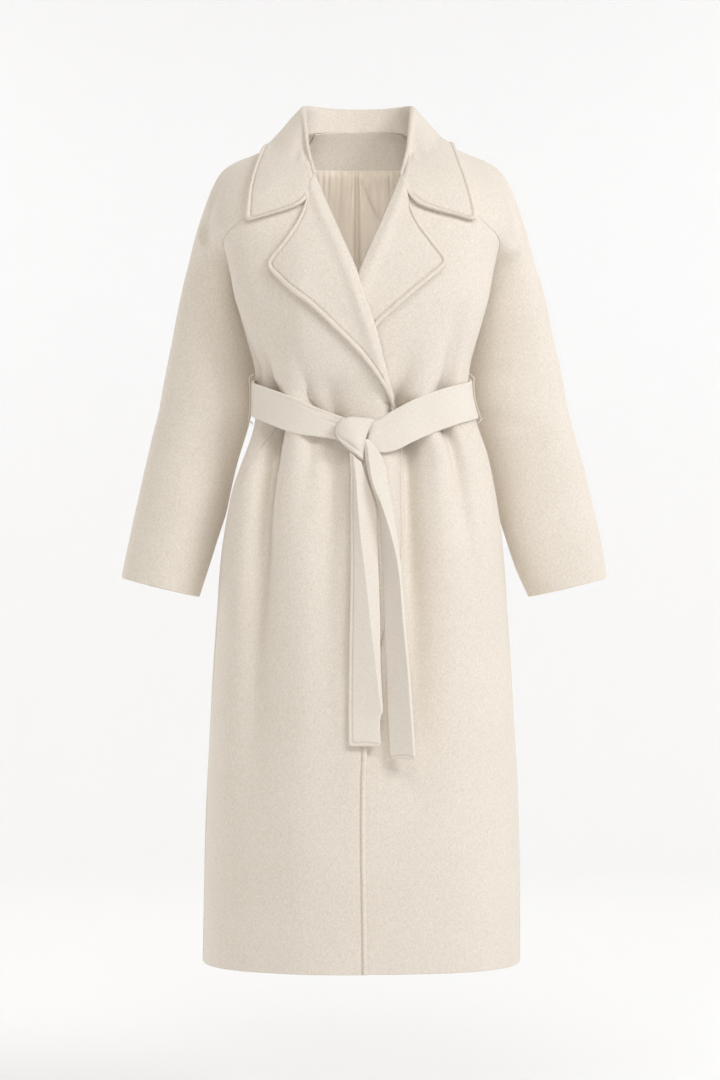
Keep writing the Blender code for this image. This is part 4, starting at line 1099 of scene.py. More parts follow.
def patch(first: Array, last: Array, start: Array, end: Array) -> Array:
    """A Coons patch: ruled both ways between four curves, less the corners counted twice.

    Args:
        first: The curve down the first side, (rows, n).
        last: The curve down the last side, (rows, n).
        start: The curve across the top, (columns, n).
        end: The curve across the bottom, (columns, n).

    Returns:
        Points, (rows, columns, n).
    """
    across = np.linspace(0, 1, len(start))[None, :, None]
    along = np.linspace(0, 1, len(first))[:, None, None]
    ruled = (1 - across) * first[:, None] + across * last[:, None]
    capped = (1 - along) * start[None] + along * end[None]
    corners = ((1 - along) * ((1 - across) * start[0] + across * start[-1])
               + along * ((1 - across) * end[0] + across * end[-1]))
    return ruled + capped - corners


DEPTH_TOP_Z = -40.0
DEPTH_ROW = 5.0
DEPTH_COLUMN = 2.0
DEPTH_HALF_WIDTH = 170.0


def front_depth(x: Array, z: Array, lift: Callable[[Array, Array], Array]) -> tuple[Array, Array]:
    """Depth of a front's outer cloth behind places given by x and z, and its normals there.

    The depth is read from unfolded sections at many heights, between the two nearest of them.
    """
    heights = np.arange(DEPTH_TOP_Z, HEM_Z - 1, -DEPTH_ROW)
    sections = Sections.at(heights, folded=False)
    front = slice(SECTION_POINTS // 2, SECTION_POINTS // 2 + SECTION_POINTS - 1)
    points, normals = sections.points[:, front], sections.normals[:, front]
    raised = lift(points[..., 0], heights[:, None])
    across = points[..., 0] + normals[..., 0] * raised
    deep = points[..., 1] + normals[..., 1] * raised
    table_x = np.arange(-DEPTH_HALF_WIDTH, DEPTH_HALF_WIDTH + 1, DEPTH_COLUMN)
    table = row_interp(np.repeat(table_x[None], len(heights), axis=0), across, deep)

    def read(px: Array, pz: Array) -> Array:
        """The table's depth at places that are kept within it."""
        return bilinear(table, np.clip((heights[0] - pz) / DEPTH_ROW, 0, len(heights) - 1.001),
                        np.clip((px - table_x[0]) / DEPTH_COLUMN, 0, len(table_x) - 1.001))

    y = read(x, z)
    slope_x = (read(x + 4, z) - read(x - 4, z)) / 8
    slope_z = (read(x, z + 4) - read(x, z - 4)) / 8
    return np.stack([x, y, z], axis=-1), unit(np.stack([slope_x, 0 * y - 1, slope_z], axis=-1))


@dataclass
class Lapel:
    """A front's turned-back top. It rolls round the front's edge and swells a little beside the roll."""

    name: str
    side: int
    head: Sequence[Sequence[float]]
    edge: Sequence[Sequence[float]]
    end_z: float
    lift: Callable[[Array, Array], Array]
    roll_top_z: float = -75.0
    roll_inset: float = 3.1
    roll_radius: float = 3.9
    roll_gap: float = 0.7
    swell: float = 2.8
    tuck: float = 15.0
    gap_run: float = 12
    swell_at: float = 15
    swell_width: float = 13
    curl: float = 2.0
    curl_from: float = 0.72
    rows: int = 96
    columns: int = 44

    def flat(self) -> Array:
        """The lapel's outline filled with a patch, seen from the front, (rows, columns, 2)."""
        roll_z = np.linspace(self.roll_top_z, self.end_z, 40)
        roll_x = TOP_EDGE.at("x", roll_z)
        roll_x = roll_x if self.side < 0 else 2 * NECK_X - roll_x
        roll = through(np.stack([roll_x + self.side * self.roll_inset, roll_z], axis=1), self.rows)
        outer = through(self.edge, self.rows)
        head = through([tuple(roll[0])] + list(self.head[1:]), self.columns)
        even = patch(roll, outer, head, np.linspace(roll[-1], outer[-1], self.columns))
        widths = lengths(np.concatenate([even, 0 * even[..., :1]], axis=2), 1)[:, -1]
        across = places(np.maximum(widths, 8.0), self.columns, np.array([0.0, 1.5, 3.0]), STITCHED_EDGE)
        even_at = np.linspace(0, 1, self.columns)
        known = np.repeat(even_at[None], self.rows, axis=0)
        fine = np.stack([row_interp(across, known, even[..., axis]) for axis in (0, 1)], axis=-1)
        down = lengths(np.concatenate([fine, 0 * fine[..., :1]], axis=2), 0).mean(axis=1)
        at = np.concatenate([STITCHED_EDGE, np.linspace(15, down[-1] - 3, self.rows), [down[-1]]])
        return smooth(down, fine, at)

    def build(self, finishes: Finishes) -> bpy.types.Object:
        """Lay the patch on the front, add the roll and the tucked leg, and sew it."""
        flat = self.flat()
        base, normals = front_depth(flat[..., 0], flat[..., 1], self.lift)
        from_roll = lengths(base, 1)
        width = from_roll[:, -1:]
        gap = self.roll_gap + (LAYER_GAP - self.roll_gap) * np.clip(from_roll / self.gap_run, 0, 1)
        ridge = np.exp(-((from_roll - self.swell_at) / self.swell_width) ** 2)
        gap = gap + self.swell * ridge * np.clip(width / 45, 0, 1)
        outward = (from_roll / np.maximum(width, 1) - self.curl_from) / (1 - self.curl_from)
        curl = self.curl * smoothstep(outward) * np.clip(width / 90, 0, 1)
        middle = base + normals * (gap + curl + LAPEL_WOOL / 2)[..., None]
        roll = self.roll(middle, normals, unit(middle[:, 2] - middle[:, 0]))
        centre = np.concatenate([roll, middle], axis=1)
        facing = grid_normals(centre, centre + np.array([0.0, 1.0, 0.0]))
        facing = facing if facing[len(facing) // 3, -20, 1] < 0 else -facing
        cloth = Cloth("coat_" + self.name, centre + facing * LAPEL_WOOL / 2, facing, LAPEL_WOOL,
                      first=PLAIN_RIM, last=STITCHED_RIM, top=Rim(1.7, True, 66.0), bottom=Rim(1.0))
        return sew(cloth, self.name, finishes.wool)

    def roll(self, middle: Array, normals: Array, across: Array) -> Array:
        """The turn round the front's edge: half a circle from the lapel, then a straight leg inside."""
        start, up = middle[:, 0], normals[:, 0]
        centre = start - up * self.roll_radius
        inside = centre - up * self.roll_radius
        leg = np.linspace(self.tuck, 0, 8)[:-1][None, :, None]
        angle = np.linspace(np.pi, 0, 12)[:-1][None, :, None]
        bend = centre[:, None] + self.roll_radius * (
            up[:, None] * np.cos(angle) - across[:, None] * np.sin(angle))
        return np.concatenate([inside[:, None] + across[:, None] * leg, bend], axis=1)


RIGHT_LAPEL_HEAD = [(-59.5, -75), (-79.5, -121), (-88, -140), (-102.5, -162.5), (-115, -178.5), (-121, -186),
                    (-124.8, -192), (-125.8, -198)]
RIGHT_LAPEL_EDGE = [(-125.8, -198), (-124, -204.5), (-118.5, -212), (-110, -220), (-95, -235), (-66, -259),
                    (-37.5, -286), (-1, -323), (27.5, -361), (47, -401)]
LEFT_LAPEL_HEAD = [(49.5, -75), (69, -122), (77.5, -139), (93, -160.5), (104, -175), (109.5, -182),
                   (112.8, -188), (113.6, -194)]
LEFT_LAPEL_EDGE = [(113.6, -194), (112, -200.5), (106, -208), (97, -216), (86, -225), (50, -256), (21, -283),
                   (-7, -321), (-24, -341)]


# Collar


COLLAR = Table(
    "station seam_x seam_y seam_z fold_x fold_y fold_z apex_y apex_z"
    " elbow_x elbow_y elbow_z edge_x edge_y edge_z", [
        (0, 0, 73.5, 4.6, 0, 80, 39, -0.10, 1.00, 0, 104, 10, 0, 126, -46),
        (1, 33, 69.5, 4.1, 35, 75, 39.5, -0.10, 1.00, 43, 100, 11, 58, 123, -48),
        (2, 60, 56.5, 1.4, 62, 61, 40.5, -0.10, 1.00, 77, 84, 13, 102, 103, -46),
        (3, 75, 36, -3.6, 75.5, 37, 38.5, -0.10, 1.00, 95, 50, 14, 126, 66, -34),
        (4, 80, 10, -9.5, 78, 8, 31, -0.20, 0.98, 100, 12, 6, 130, 16, -25),
        (5, 80, -12, -17, 76, -14, 16, -0.45, 0.88, 101, -20, -12, 134, -26, -44),
        (6, 77.5, -29, -28, 73.5, -36, -5, -0.70, 0.70, 98, -50, -36, 140.5, -60, -73),
        (7, 75, -50, -48, 70, -62, -33, -0.85, 0.50, 88, -78, -73, 150, -88, -107),
        (8, 65.5, -79, -71, 59.5, -94, -74, -0.93, 0.35, 77, -108, -115.5, 155, -104, -139),
    ])
COLLAR_FOLD = 4.0


@dataclass
class Collar:
    """Stand and fall in one doubled cloth: up the stand, over the fold, down and out on the shoulders."""

    finishes: Finishes
    stations: int = 150
    columns: int = 46
    rest_gap: float = 1.8
    corner: float = 13.0
    left_longer: float = 9.0
    reach: float = 40.0
    lowest_z: float = -190.0
    on_shoulders: int = 13

    def middle(self, station: Array, across: Array) -> Array:
        """The middle of the collar's cloth at stations (n) and places across (m), as (n, m, 3)."""
        side = np.where(station < 0, -1.0, 1.0)[:, None]
        size = {name: COLLAR.at(name, np.abs(station)) for name in COLLAR.names.split()[1:]}
        seam, fold, elbow, edge = (
            np.stack([size[f"{part}_{axis}"] for axis in "xyz"], axis=1)
            for part in ("seam", "fold", "elbow", "edge"))
        apex = unit(np.stack([0 * station, size["apex_y"], size["apex_z"]], axis=1))
        fall = elbow - fold
        sideways = unit(fall - (fall * apex).sum(axis=1, keepdims=True) * apex)
        crown = fold - apex * COLLAR_WOOL / 2
        radius = COLLAR_FOLD * np.minimum(1.0, np.linalg.norm(crown - seam, axis=1, keepdims=True) / 20)
        inner = crown - apex * radius - sideways * radius
        outer = crown - apex * radius + sideways * radius
        path = np.stack([seam, inner, crown, outer, elbow, edge])
        points = smooth(np.arange(6), path, across).swapaxes(0, 1)
        longer = smoothstep((station - 6) / 2)[:, None] * smoothstep((across - 3) / 2)[None]
        points[..., 0] = NECK_X + side * points[..., 0] + self.left_longer * longer
        return points

    def lifted(self, points: Array, cloth: Array, normals: Array) -> Array:
        """Move points outward until each lies at least the rest gap above the cloth below it."""
        gap = self.rest_gap + COLLAR_WOOL / 2
        flat = points.reshape(-1, 3)
        for _ in range(2):
            parts = []
            for chunk in np.array_split(flat, max(1, len(flat) // 500)):
                apart = ((chunk[:, None] - cloth[None]) ** 2).sum(axis=2)
                nearest = apart.argmin(axis=1)
                normal = normals[nearest]
                height = ((chunk - cloth[nearest]) * normal).sum(axis=1)
                close = apart[np.arange(len(chunk)), nearest] < self.reach ** 2
                parts.append(chunk + normal * np.where(close, np.maximum(gap - height, 0), 0)[:, None])
            flat = np.concatenate(parts)
        return flat.reshape(points.shape)

    def build(self, shell: Sequence[tuple[Array, Array]]) -> bpy.types.Object:
        """Lay the collar over the finished shell and sew it."""
        coarse_station = np.linspace(-8, 8, 33)
        coarse_across = np.concatenate([np.linspace(0, 3, 13), np.linspace(3.25, 5, 8)])
        middle = self.middle(coarse_station, coarse_across)
        cloth = np.concatenate([grid[::2, ::2].reshape(-1, 3) for grid, _ in shell])
        normals = np.concatenate([normal[::2, ::2].reshape(-1, 3) for _, normal in shell])
        near = cloth[:, 2] > self.lowest_z
        loose = middle[:, self.on_shoulders:]
        middle[:, self.on_shoulders:] = self.lifted(loose, cloth[near], normals[near])
        down = lengths(middle, 0).mean(axis=1)
        ends = places(down[-1:], self.stations, STITCHED_EDGE, STITCHED_EDGE)[0] * down[-1]
        rows = smooth(down, middle, ends)
        width = lengths(rows, 1)
        fine = places(width[:, -1], self.columns, round_edge(1.0), STITCHED_EDGE) * width[:, -1:]
        from_end = np.minimum(ends - ends[0], ends[-1] - ends)
        inset = corner_inset(from_end, self.corner)
        fine = fine * (1 - inset / width[:, -1:])
        grid = np.stack([smooth(known, row, at) for known, row, at in zip(width, rows, fine)])
        facing = grid_normals(grid, grid.mean(axis=(0, 1)))
        crest = np.argmax(grid[len(grid) // 2, :, 2])
        facing = facing if facing[len(grid) // 2, crest, 2] > 0 else -facing
        cloth_wall = Cloth("coat_collar", grid + facing * COLLAR_WOOL / 2, facing, COLLAR_WOOL,
                           first=Rim(1.0), last=STITCHED_RIM, top=Rim(2.0, True, 58.0),
                           bottom=Rim(2.0, True, 58.0))
        return sew(cloth_wall, "collar", self.finishes.wool)


# Inside the back


GATHERS = Table("x depth width runs_down", [
    (-60, 2.6, 3, 70), (-51, 3.6, 3, 90), (-43, 5.0, 3.2, 130), (-34, 3.0, 2.4, 70), (-25, 5.0, 3, 100),
    (-18, 3.4, 2, 60), (-12, 4.0, 2.2, 80), (-6.5, 10.0, 2.4, 600), (1, 3.0, 2.6, 70), (9, 2.6, 3, 50),
    (20, 3.4, 3.2, 80), (28, 4.0, 2.6, 70), (36, 6.5, 4, 150), (44, 3.6, 3, 80), (53, 3.0, 3, 70),
])


@dataclass
class BackInside:
    """The neck facing and the half lining, both kept to the inside of the back's own points."""

    finishes: Finishes
    seam_z: float = -47.0
    lining_end_z: float = -332.0
    facing_wool: float = 1.7
    above_all_z: float = 100.0
    flat_share: float = 0.15
    flat_drop: float = 12.0

    def inside(self, back: Array, normals: Array, x: Array, fall: Array, end_z: float,
               start_z: float) -> tuple[Array, Array]:
        """The back's points and normals on columns of x, between two levels or from its neck edge.

        Args:
            back: The back's outer face.
            normals: Its normals.
            x: Where the columns stand.
            fall: Share of the way from the start (0) to the end (1), for each row.
            end_z: The lower level.
            start_z: The upper level; where the neck edge lies lower, the rows start just below it.

        Returns:
            Points and normals, (rows, columns, 3).
        """
        wide = np.repeat(x[None], len(back), axis=0)
        place = [row_interp(wide, back[..., 0], back[..., axis]) for axis in range(3)]
        normal = [row_interp(wide, back[..., 0], normals[..., axis]) for axis in range(3)]
        heights = -place[2].T
        top = np.maximum(heights[:, :1] + 0.6, -start_z)
        target = top + (-end_z - top) * fall[None]
        made = [row_interp(target, heights, part.T).T for part in place + normal]
        return np.stack(made[:3], axis=-1), unit(np.stack(made[3:], axis=-1))

    def build(self, back: Array, normals: Array) -> None:
        """Sew the facing and hang the lining from it."""
        x = np.linspace(-88, 80, 90)
        fall = np.concatenate([[0, 0.004, 0.012, 0.025], np.linspace(0.05, 0.95, 20),
                               [0.975, 0.988, 0.996, 1]])
        place, normal = self.inside(back, normals, x, fall, self.seam_z, self.above_all_z)
        face = place - normal * (WOOL + 0.15 + self.facing_wool)
        cloth = Cloth("neck_facing", face, -normal, self.facing_wool, bottom=SEAM_RIM, top=Rim(0.5),
                      first=SEAM_RIM, last=SEAM_RIM)
        sew(cloth, "back_neck_facing", self.finishes.wool)
        x = np.linspace(-98, 90, 230)
        fall = np.concatenate([[0, 0.001, 0.003, 0.006], np.linspace(0.01, 1, 100)])
        place, normal = self.inside(back, normals, x, fall, self.lining_end_z, self.seam_z + 1.5)
        drop = np.maximum(place[:1, :, 2] - place[..., 2], 0)
        ripple = np.zeros(place.shape[:2])
        for centre, depth, width, runs_down in GATHERS.rows:
            fade = np.clip(1 - drop / runs_down, 0, 1) ** 0.8
            swing = centre + 0.05 * drop * np.sign(centre + 6.5)
            ripple += depth * fade * np.exp(-((x[None] - swing) / (width * (1 + drop / 260))) ** 2)
        ripple += self.slanting_fold(x[None], place[..., 2])
        ripple *= self.flat_share + (1 - self.flat_share) * smoothstep(drop / self.flat_drop)
        face = place - normal * (WOOL + LAYER_GAP + LINING_CLOTH + ripple)[..., None]
        lining = Cloth("back_half_lining", face, -normal, LINING_CLOTH,
                       first=LINING_RIM, last=LINING_RIM, top=LINING_RIM, bottom=LINING_RIM)
        sew(lining, "back_lining", self.finishes.lining)

    def slanting_fold(self, x: Array, z: Array) -> Array:
        """The loose fold that runs from the centre of the facing down towards the wearer's left."""
        along = np.clip((self.seam_z - 6 - z) / 60, 0, 1)
        centre = 1 + 24 * along
        return 5.5 * np.sin(np.pi * along) ** 0.5 * np.exp(-((x - centre) / 3.4) ** 2)


# Belt


BELT_LINE = Table("share z", [
    (-1, -366), (-0.75, -368), (-0.5, -374), (-0.40, -381), (-0.31, -392), (-0.2, -408.5), (-0.1, -419.5),
    (0, -432), (0.06, -431.5), (0.12, -418.5), (0.2, -404), (0.3, -390), (0.40, -381), (0.5, -374),
    (0.75, -368), (1, -366),
])
# Where the band runs into the knot it is drawn together.
BELT_SPAN = Table("share span", [
    (-1, 1), (-0.34, 1), (-0.22, 0.97), (-0.14, 0.80), (-0.08, 0.70), (-0.02, 0.75), (0.03, 0.95), (0.07, 1),
    (1, 1),
])
BELT_WIDTH = 46.0
BELT_REST = 1.6
BELT_OPEN_SHARE = 0.002
LIFT_FALLS_X = (50.0, 96.0)
BELT_RIM = Rim(1.8)

# Small folds of the band where it runs into the knot: place along it, across it (-0.5 to 0.5) and size.
BAND_FOLDS = Table("share across depth run width", [
    (-0.090, 0.14, 1.3, 0.045, 0.05), (-0.085, -0.30, 0.9, 0.04, 0.05), (0.085, -0.24, 0.5, 0.05, 0.07),
    (-0.19, 0.37, 0.6, 0.10, 0.03), (0.14, 0.40, 0.3, 0.10, 0.04),
])


@dataclass
class Belt:
    """The tied belt: the band round the waist, its knot and its two hanging ends."""

    finishes: Finishes
    stations: int = 240
    columns: int = 40
    middle_z: float = -390.0
    table_row: float = 3.0
    table_half: int = 600
    share_step: float = 0.01
    crown: float = 0.7

    def band(self) -> Array:
        """The band's outer face: a strip that follows the belt line round the unfolded sections."""
        shares = np.linspace(BELT_OPEN_SHARE, 2 - BELT_OPEN_SHARE, self.stations)
        shares = np.where(shares > 1, shares - 2, shares)
        half_girth = float(Sections.at(np.array([self.middle_z]), False).half_girth[0])
        ahead, behind = (BELT_LINE.at("z", shares + step) for step in (self.share_step, -self.share_step))
        slope = (ahead - behind) / (2 * self.share_step) / half_girth
        cosine = 1 / np.hypot(1, slope)
        edge = round_edge(1.8)
        across = places(np.array([BELT_WIDTH]), self.columns, np.append(edge, 2.6), np.append(edge, 2.6))[0]
        offset = (across - 0.5)[None] * (BELT_WIDTH * BELT_SPAN.at("span", shares))[:, None]
        z = BELT_LINE.at("z", shares)[:, None] + offset * cosine[:, None]
        at = shares[:, None] - offset * (slope * cosine)[:, None] / half_girth
        at = np.where(at > 1, at - 2, np.where(at < -1, at + 2, at))
        heights = np.arange(z.max() + self.table_row, z.min() - 2 * self.table_row, -self.table_row)
        sections = Sections.at(heights, False)
        known = np.linspace(-1, 1, 2 * self.table_half + 1)
        wide = np.repeat(known[None], len(heights), axis=0)
        row, column = (heights[0] - z) / self.table_row, (at + 1) * self.table_half
        place = bilinear(sections.point(wide), row, column)
        normal = unit(bilinear(sections.normal(wide), row, column))
        fall = smoothstep((place[..., 0] - LIFT_FALLS_X[0]) / (LIFT_FALLS_X[1] - LIFT_FALLS_X[0]))
        lift = np.where(place[..., 1] < 0, overlap_lift(place[..., 0], z) * (1 - fall), 0)
        fold = np.zeros_like(z)
        share_across = (across - 0.5)[None]
        for centre, height, depth, run, width in BAND_FOLDS.rows:
            fold += depth * np.exp(-((shares[:, None] - centre) / run) ** 2
                                   - ((share_across - height) / width) ** 2)
        crown = self.crown * (1 - (2 * share_across) ** 2)
        place[..., 2] = z
        return place + normal * (lift + BELT_REST + BELT_WOOL + crown - fold)[..., None]

    def build(self) -> None:
        """Make the band, the knot and the two ends."""
        grid = self.band()
        normals = grid_normals(grid, np.array([0.0, 0.0, self.middle_z]))
        band = Cloth("belt_round_waist", grid, normals, BELT_WOOL, first=BELT_RIM, last=BELT_RIM,
                     top=BELT_RIM, bottom=BELT_RIM, both_faces=True)
        sew(band, "belt_band", self.finishes.belt)
        near = (np.abs(grid[..., 0] + 8) < 24) & (grid[..., 1] < 0)
        Knot(self.finishes).build(float(grid[near][:, 1].min()))
        Tail("belt_end_a", "belt_tail_a", TAIL_A, -0.8, Rim(1.8, True)).build(self.finishes)
        Tail("belt_end_b", "belt_tail_b", TAIL_B, 0.0, BELT_RIM).build(self.finishes)


@dataclass
class Knot:
    """One turn of the belt pulled over the other: crowned, rolled at the left and free at the right."""

    finishes: Finishes
    size: int = 56
    edge: float = 8.0
    crown: float = 7.5
    sunk: float = 0.3

    def build(self, band_y: float) -> bpy.types.Object:
        """Fill the knot's outline with a patch and raise it off the band."""
        top = through([(-27, -409), (-16, -406), (-4, -406), (10, -407.5), (20, -410)], self.size)
        bottom = through([(-35, -433), (-27, -443), (-17, -452), (-7, -461), (3, -468)], self.size)
        left = through([(-27, -409), (-33, -415), (-35.5, -423), (-35, -433)], self.size)
        right = through([(20, -410), (13, -419), (8, -430), (5, -444), (3, -468)], self.size)
        flat = patch(top, bottom, left, right)
        rows, columns = flat.shape[:2]
        u = np.linspace(-1, 1, rows)[:, None]
        v = np.linspace(-1, 1, columns)[None]
        swell = (1 - np.abs(u) ** 3) * (1 - np.abs(v) ** 3)
        slant = 0.9 * np.sin(2.2 * v + 1.1 * u) + 0.5 * np.cos(3.1 * u - 1.7 * v)
        lap = 1.6 * np.exp(-((v - 0.86) / 0.10) ** 2) - 1.0 * np.exp(-((v - 0.66) / 0.09) ** 2)
        height = self.edge + self.crown * swell + slant * swell + lap
        y = band_y + self.sunk - height
        face = np.stack([flat[..., 0], y, flat[..., 1]], axis=-1)
        normals = np.zeros_like(face)
        normals[..., 1] = -1.0
        cloth = KnotWall("belt_tied_knot", face, normals, self.edge + self.crown + 1, first=Rim(5.0),
                         last=Rim(2.6), top=Rim(5.0), bottom=Rim(4.0))
        return sew(cloth, "belt_knot", self.finishes.belt)


KNOT_DEPTH = 5.5
KNOT_LEAST = 0.05


class KnotWall(Cloth):
    """A thick wall whose back stays flat against the band."""

    def mesh(self, outer: Array, inner: Array, rim: Array, along: Array,
             finish: bpy.types.Material) -> bpy.types.Object:
        """Round the front over its edges and keep the back on the band."""
        back_y = self.face[..., 1].max() + KNOT_DEPTH
        outer[..., 1] = np.minimum(outer[..., 1], back_y)
        inner[..., 1] = np.maximum(np.full_like(inner[..., 1], back_y), outer[..., 1] + KNOT_LEAST)
        inner[[0, -1]] = outer[[0, -1]]
        inner[:, [0, -1]] = outer[:, [0, -1]]
        return super().mesh(outer, inner, rim, along, finish)


TAIL_A = Table("z left ridge right left_up ridge_up right_up", [
    (-454, -17, -11, 0, 8, 12, 10), (-480, -16, -8, 6, 5, 11, 8), (-527, -16, -5, 20, 1, 11, 3),
    (-573, -16, -1, 22, 0, 10, 2), (-621, -16, 5, 24, 0, 10, 2), (-682, -17, 11.5, 26, 0, 11, 2),
    (-740, -18, 18.5, 26.5, 0, 10, 4), (-792, -18.5, 24.5, 29, 0, 8, 5),
    (-806, -18.5, 25, 29.5, 0, 6, 4), (-812, -18.5, 21, 26.5, 0, 4, 3),
    (-852, -18, 20, 26.5, 1, 3, 3),
])
TAIL_B = Table("z left ridge right left_up ridge_up right_up", [
    (-436, 2, 5, 9, 7, 8, 7), (-447, 3, 8, 20, 7, 12, 10), (-466, 4.5, 10, 30.5, 8, 17, 12),
    (-499, 12, 16, 37, 8, 21, 13), (-527, 22, 27, 42.5, 5, 23, 15), (-565, 25.5, 39, 48.5, 2, 24, 17),
    (-605, 27.5, 48.5, 53.5, 0, 22, 18), (-682, 30, 55.5, 59.8, 0, 20, 17),
    (-741, 32, 61, 64.8, 0, 18, 15), (-810, 34.5, 66, 70, 0, 16, 13), (-869, 37.5, 70, 74, 0, 13, 11),
])
TAIL_EDGE = np.concatenate([round_edge(1.8), (2.6, 3.4, 4.2, 4.9, 5.5, 6.1, 7.0, 8.4)])


@dataclass
class Tail:
    """A hanging end of the belt, bent along a ridge that wanders across it."""

    name: str
    node: str
    table: Table
    slant: float
    left_rim: Rim
    rest: float = 1.4
    slant_run: float = 30.0
    corner: float = 5.0
    crease: float = 0.12
    waves: tuple[tuple[float, float], tuple[float, float]] = ((0.6, 41.0), (0.4, 17.0))
    columns: int = 34

    def build(self, finishes: Finishes) -> bpy.types.Object:
        """Work out the strip: a cubic across left edge, ridge and right edge, lying off the skirt."""
        top, end = self.table.rows[0][0], self.table.rows[-1][0]
        z = np.concatenate([top - round_edge(1.8), np.linspace(top - 3, end + 10.5, 90),
                            end + TAIL_EDGE[::-1]])
        left, ridge, right = (self.table.at(name, z) for name in ("left", "ridge", "right"))
        low, high, side = (self.table.at(name, z) for name in ("left_up", "ridge_up", "right_up"))
        near, far = 1 - self.crease, self.crease
        x = np.stack([left, far * left + near * ridge, ridge, near * ridge + far * right, right])
        up = np.stack([low, far * low + near * high, high, near * high + far * side, side])
        across = np.linspace(0, 4, 60)
        line_x, line_up = smooth(np.arange(5), x, across).T, smooth(np.arange(5), up, across).T
        width = np.concatenate([0 * z[:, None], np.cumsum(np.hypot(
            np.diff(line_x, axis=1), np.diff(line_up, axis=1)), axis=1)], axis=1)
        at = places(width[:, -1], self.columns, TAIL_EDGE, TAIL_EDGE) * width[:, -1:]
        inset = corner_inset(z - z[-1], self.corner)
        at = inset + at * (1 - 2 * inset / width[:, -1:])
        fine_x, fine_up = row_interp(at, width, line_x), row_interp(at, width, line_up)
        fade = np.exp((z - z[0]) / self.slant_run)[:, None]
        high_z = z[:, None] + self.slant * (fine_x - fine_x[:, :1]) * fade
        inner_x = np.minimum(fine_x, TOP_EDGE.at("x", high_z) - 1)
        base, _ = front_depth(inner_x, high_z, overlap_lift)
        (slow, slow_run), (quick, quick_run) = self.waves
        drift = slow * np.sin(high_z / slow_run + self.slant) + quick * np.sin(high_z / quick_run)
        y = base[..., 1] - self.rest - fine_up - BELT_WOOL - drift
        face = np.stack([fine_x, y, high_z], axis=-1)
        normals = grid_normals(face, face.mean(axis=(0, 1)) + np.array([0, 50.0, 0]))
        cloth = Cloth(self.name, face, normals, BELT_WOOL, first=self.left_rim, last=BELT_RIM, top=BELT_RIM,
                      bottom=Rim(1.8, True), stitching=BELT_STITCHING, both_faces=True)
        return sew(cloth, self.node, finishes.belt)


@dataclass
class BeltLoop:
    """A thread loop on the side seam: a two-strand twist round a bowed path."""

    name: str
    node: str
    side: int
    share: float = 0.455
    top_z: float = -342.0
    bottom_z: float = -414.0
    stands: float = 7.4
    strand: float = 0.75
    pitch: float = 5.0
    lobes: float = 0.32
    root_off: float = 1.4
    bow: float = 9.0
    end_power: float = 40.0

    def build(self, finishes: Finishes) -> bpy.types.Object:
        """Carry a lobed profile along the path, turning once every pitch."""
        t = np.linspace(0, 1, 150)
        z = self.top_z + (self.bottom_z - self.top_z) * t
        sections = Sections.at(z, False)
        share = np.full((len(z), 1), self.side * self.share)
        off = self.root_off + self.stands * smoothstep(np.minimum(1.0, self.bow * np.minimum(t, 1 - t)))
        path = (sections.point(share) + sections.normal(share) * off[:, None, None])[:, 0]
        forward = unit(np.gradient(path, axis=0))
        side = unit(np.cross(forward, np.array([0.0, 1.0, 0.0])))
        up = np.cross(side, forward)
        length = lengths(path[:, None], 0)[:, 0]
        angle = np.linspace(0, 2 * np.pi, 17)[None]
        turn = (2 * np.pi * length / self.pitch)[:, None]
        radius = self.strand * (1 + self.lobes * np.cos(2 * (angle - turn)))
        close = np.sqrt(np.clip(1 - np.abs(2 * t - 1) ** self.end_power, 0.02, 1))[:, None]
        ring = path[:, None] + (radius * close)[..., None] * (
            np.cos(angle)[..., None] * side[:, None] + np.sin(angle)[..., None] * up[:, None])
        rows, columns = ring.shape[0], ring.shape[1] - 1
        index = np.arange(rows * columns).reshape(rows, columns)
        following = np.roll(index, -1, axis=1)
        tube = np.stack([index[:-1], following[:-1], following[1:], index[1:]], axis=-1).reshape(-1, 4)
        half = np.arange(columns // 2 - 1)
        cap = np.stack([half, half + 1, columns - 2 - half, columns - 1 - half], axis=1)
        faces = np.concatenate([tube, cap[:, [1, 0, 3, 2]], cap + index[-1, 0]])
        piece = mesh_object(self.name, ring[:, :-1].reshape(-1, 3) * MM, faces, {}, finishes.thread)
        place_piece(piece, self.node)
        return piece


# Room, light and camera


@dataclass(frozen=True)
class Softbox:
    """A square lamp that shines at a place."""

    name: str
    place: tuple[float, float, float]
    target: tuple[float, float, float]
    size: float
    watts: float
    colour: tuple[float, float, float] = (1.0, 1.0, 1.0)

    def build(self) -> None:
        """Hang the lamp and turn it to its target."""
        lamp = bpy.data.lights.new(self.name, "AREA")
        lamp.shape = "SQUARE"
        lamp.size = self.size
        lamp.energy = self.watts
        lamp.color = self.colour
        holder = bpy.data.objects.new(self.name, lamp)
        holder.location = self.place
        holder.visible_camera = False
        way = Vector(self.target) - Vector(self.place)
        holder.rotation_euler = way.to_track_quat("-Z", "Y").to_euler()
        bpy.context.scene.collection.objects.link(holder)


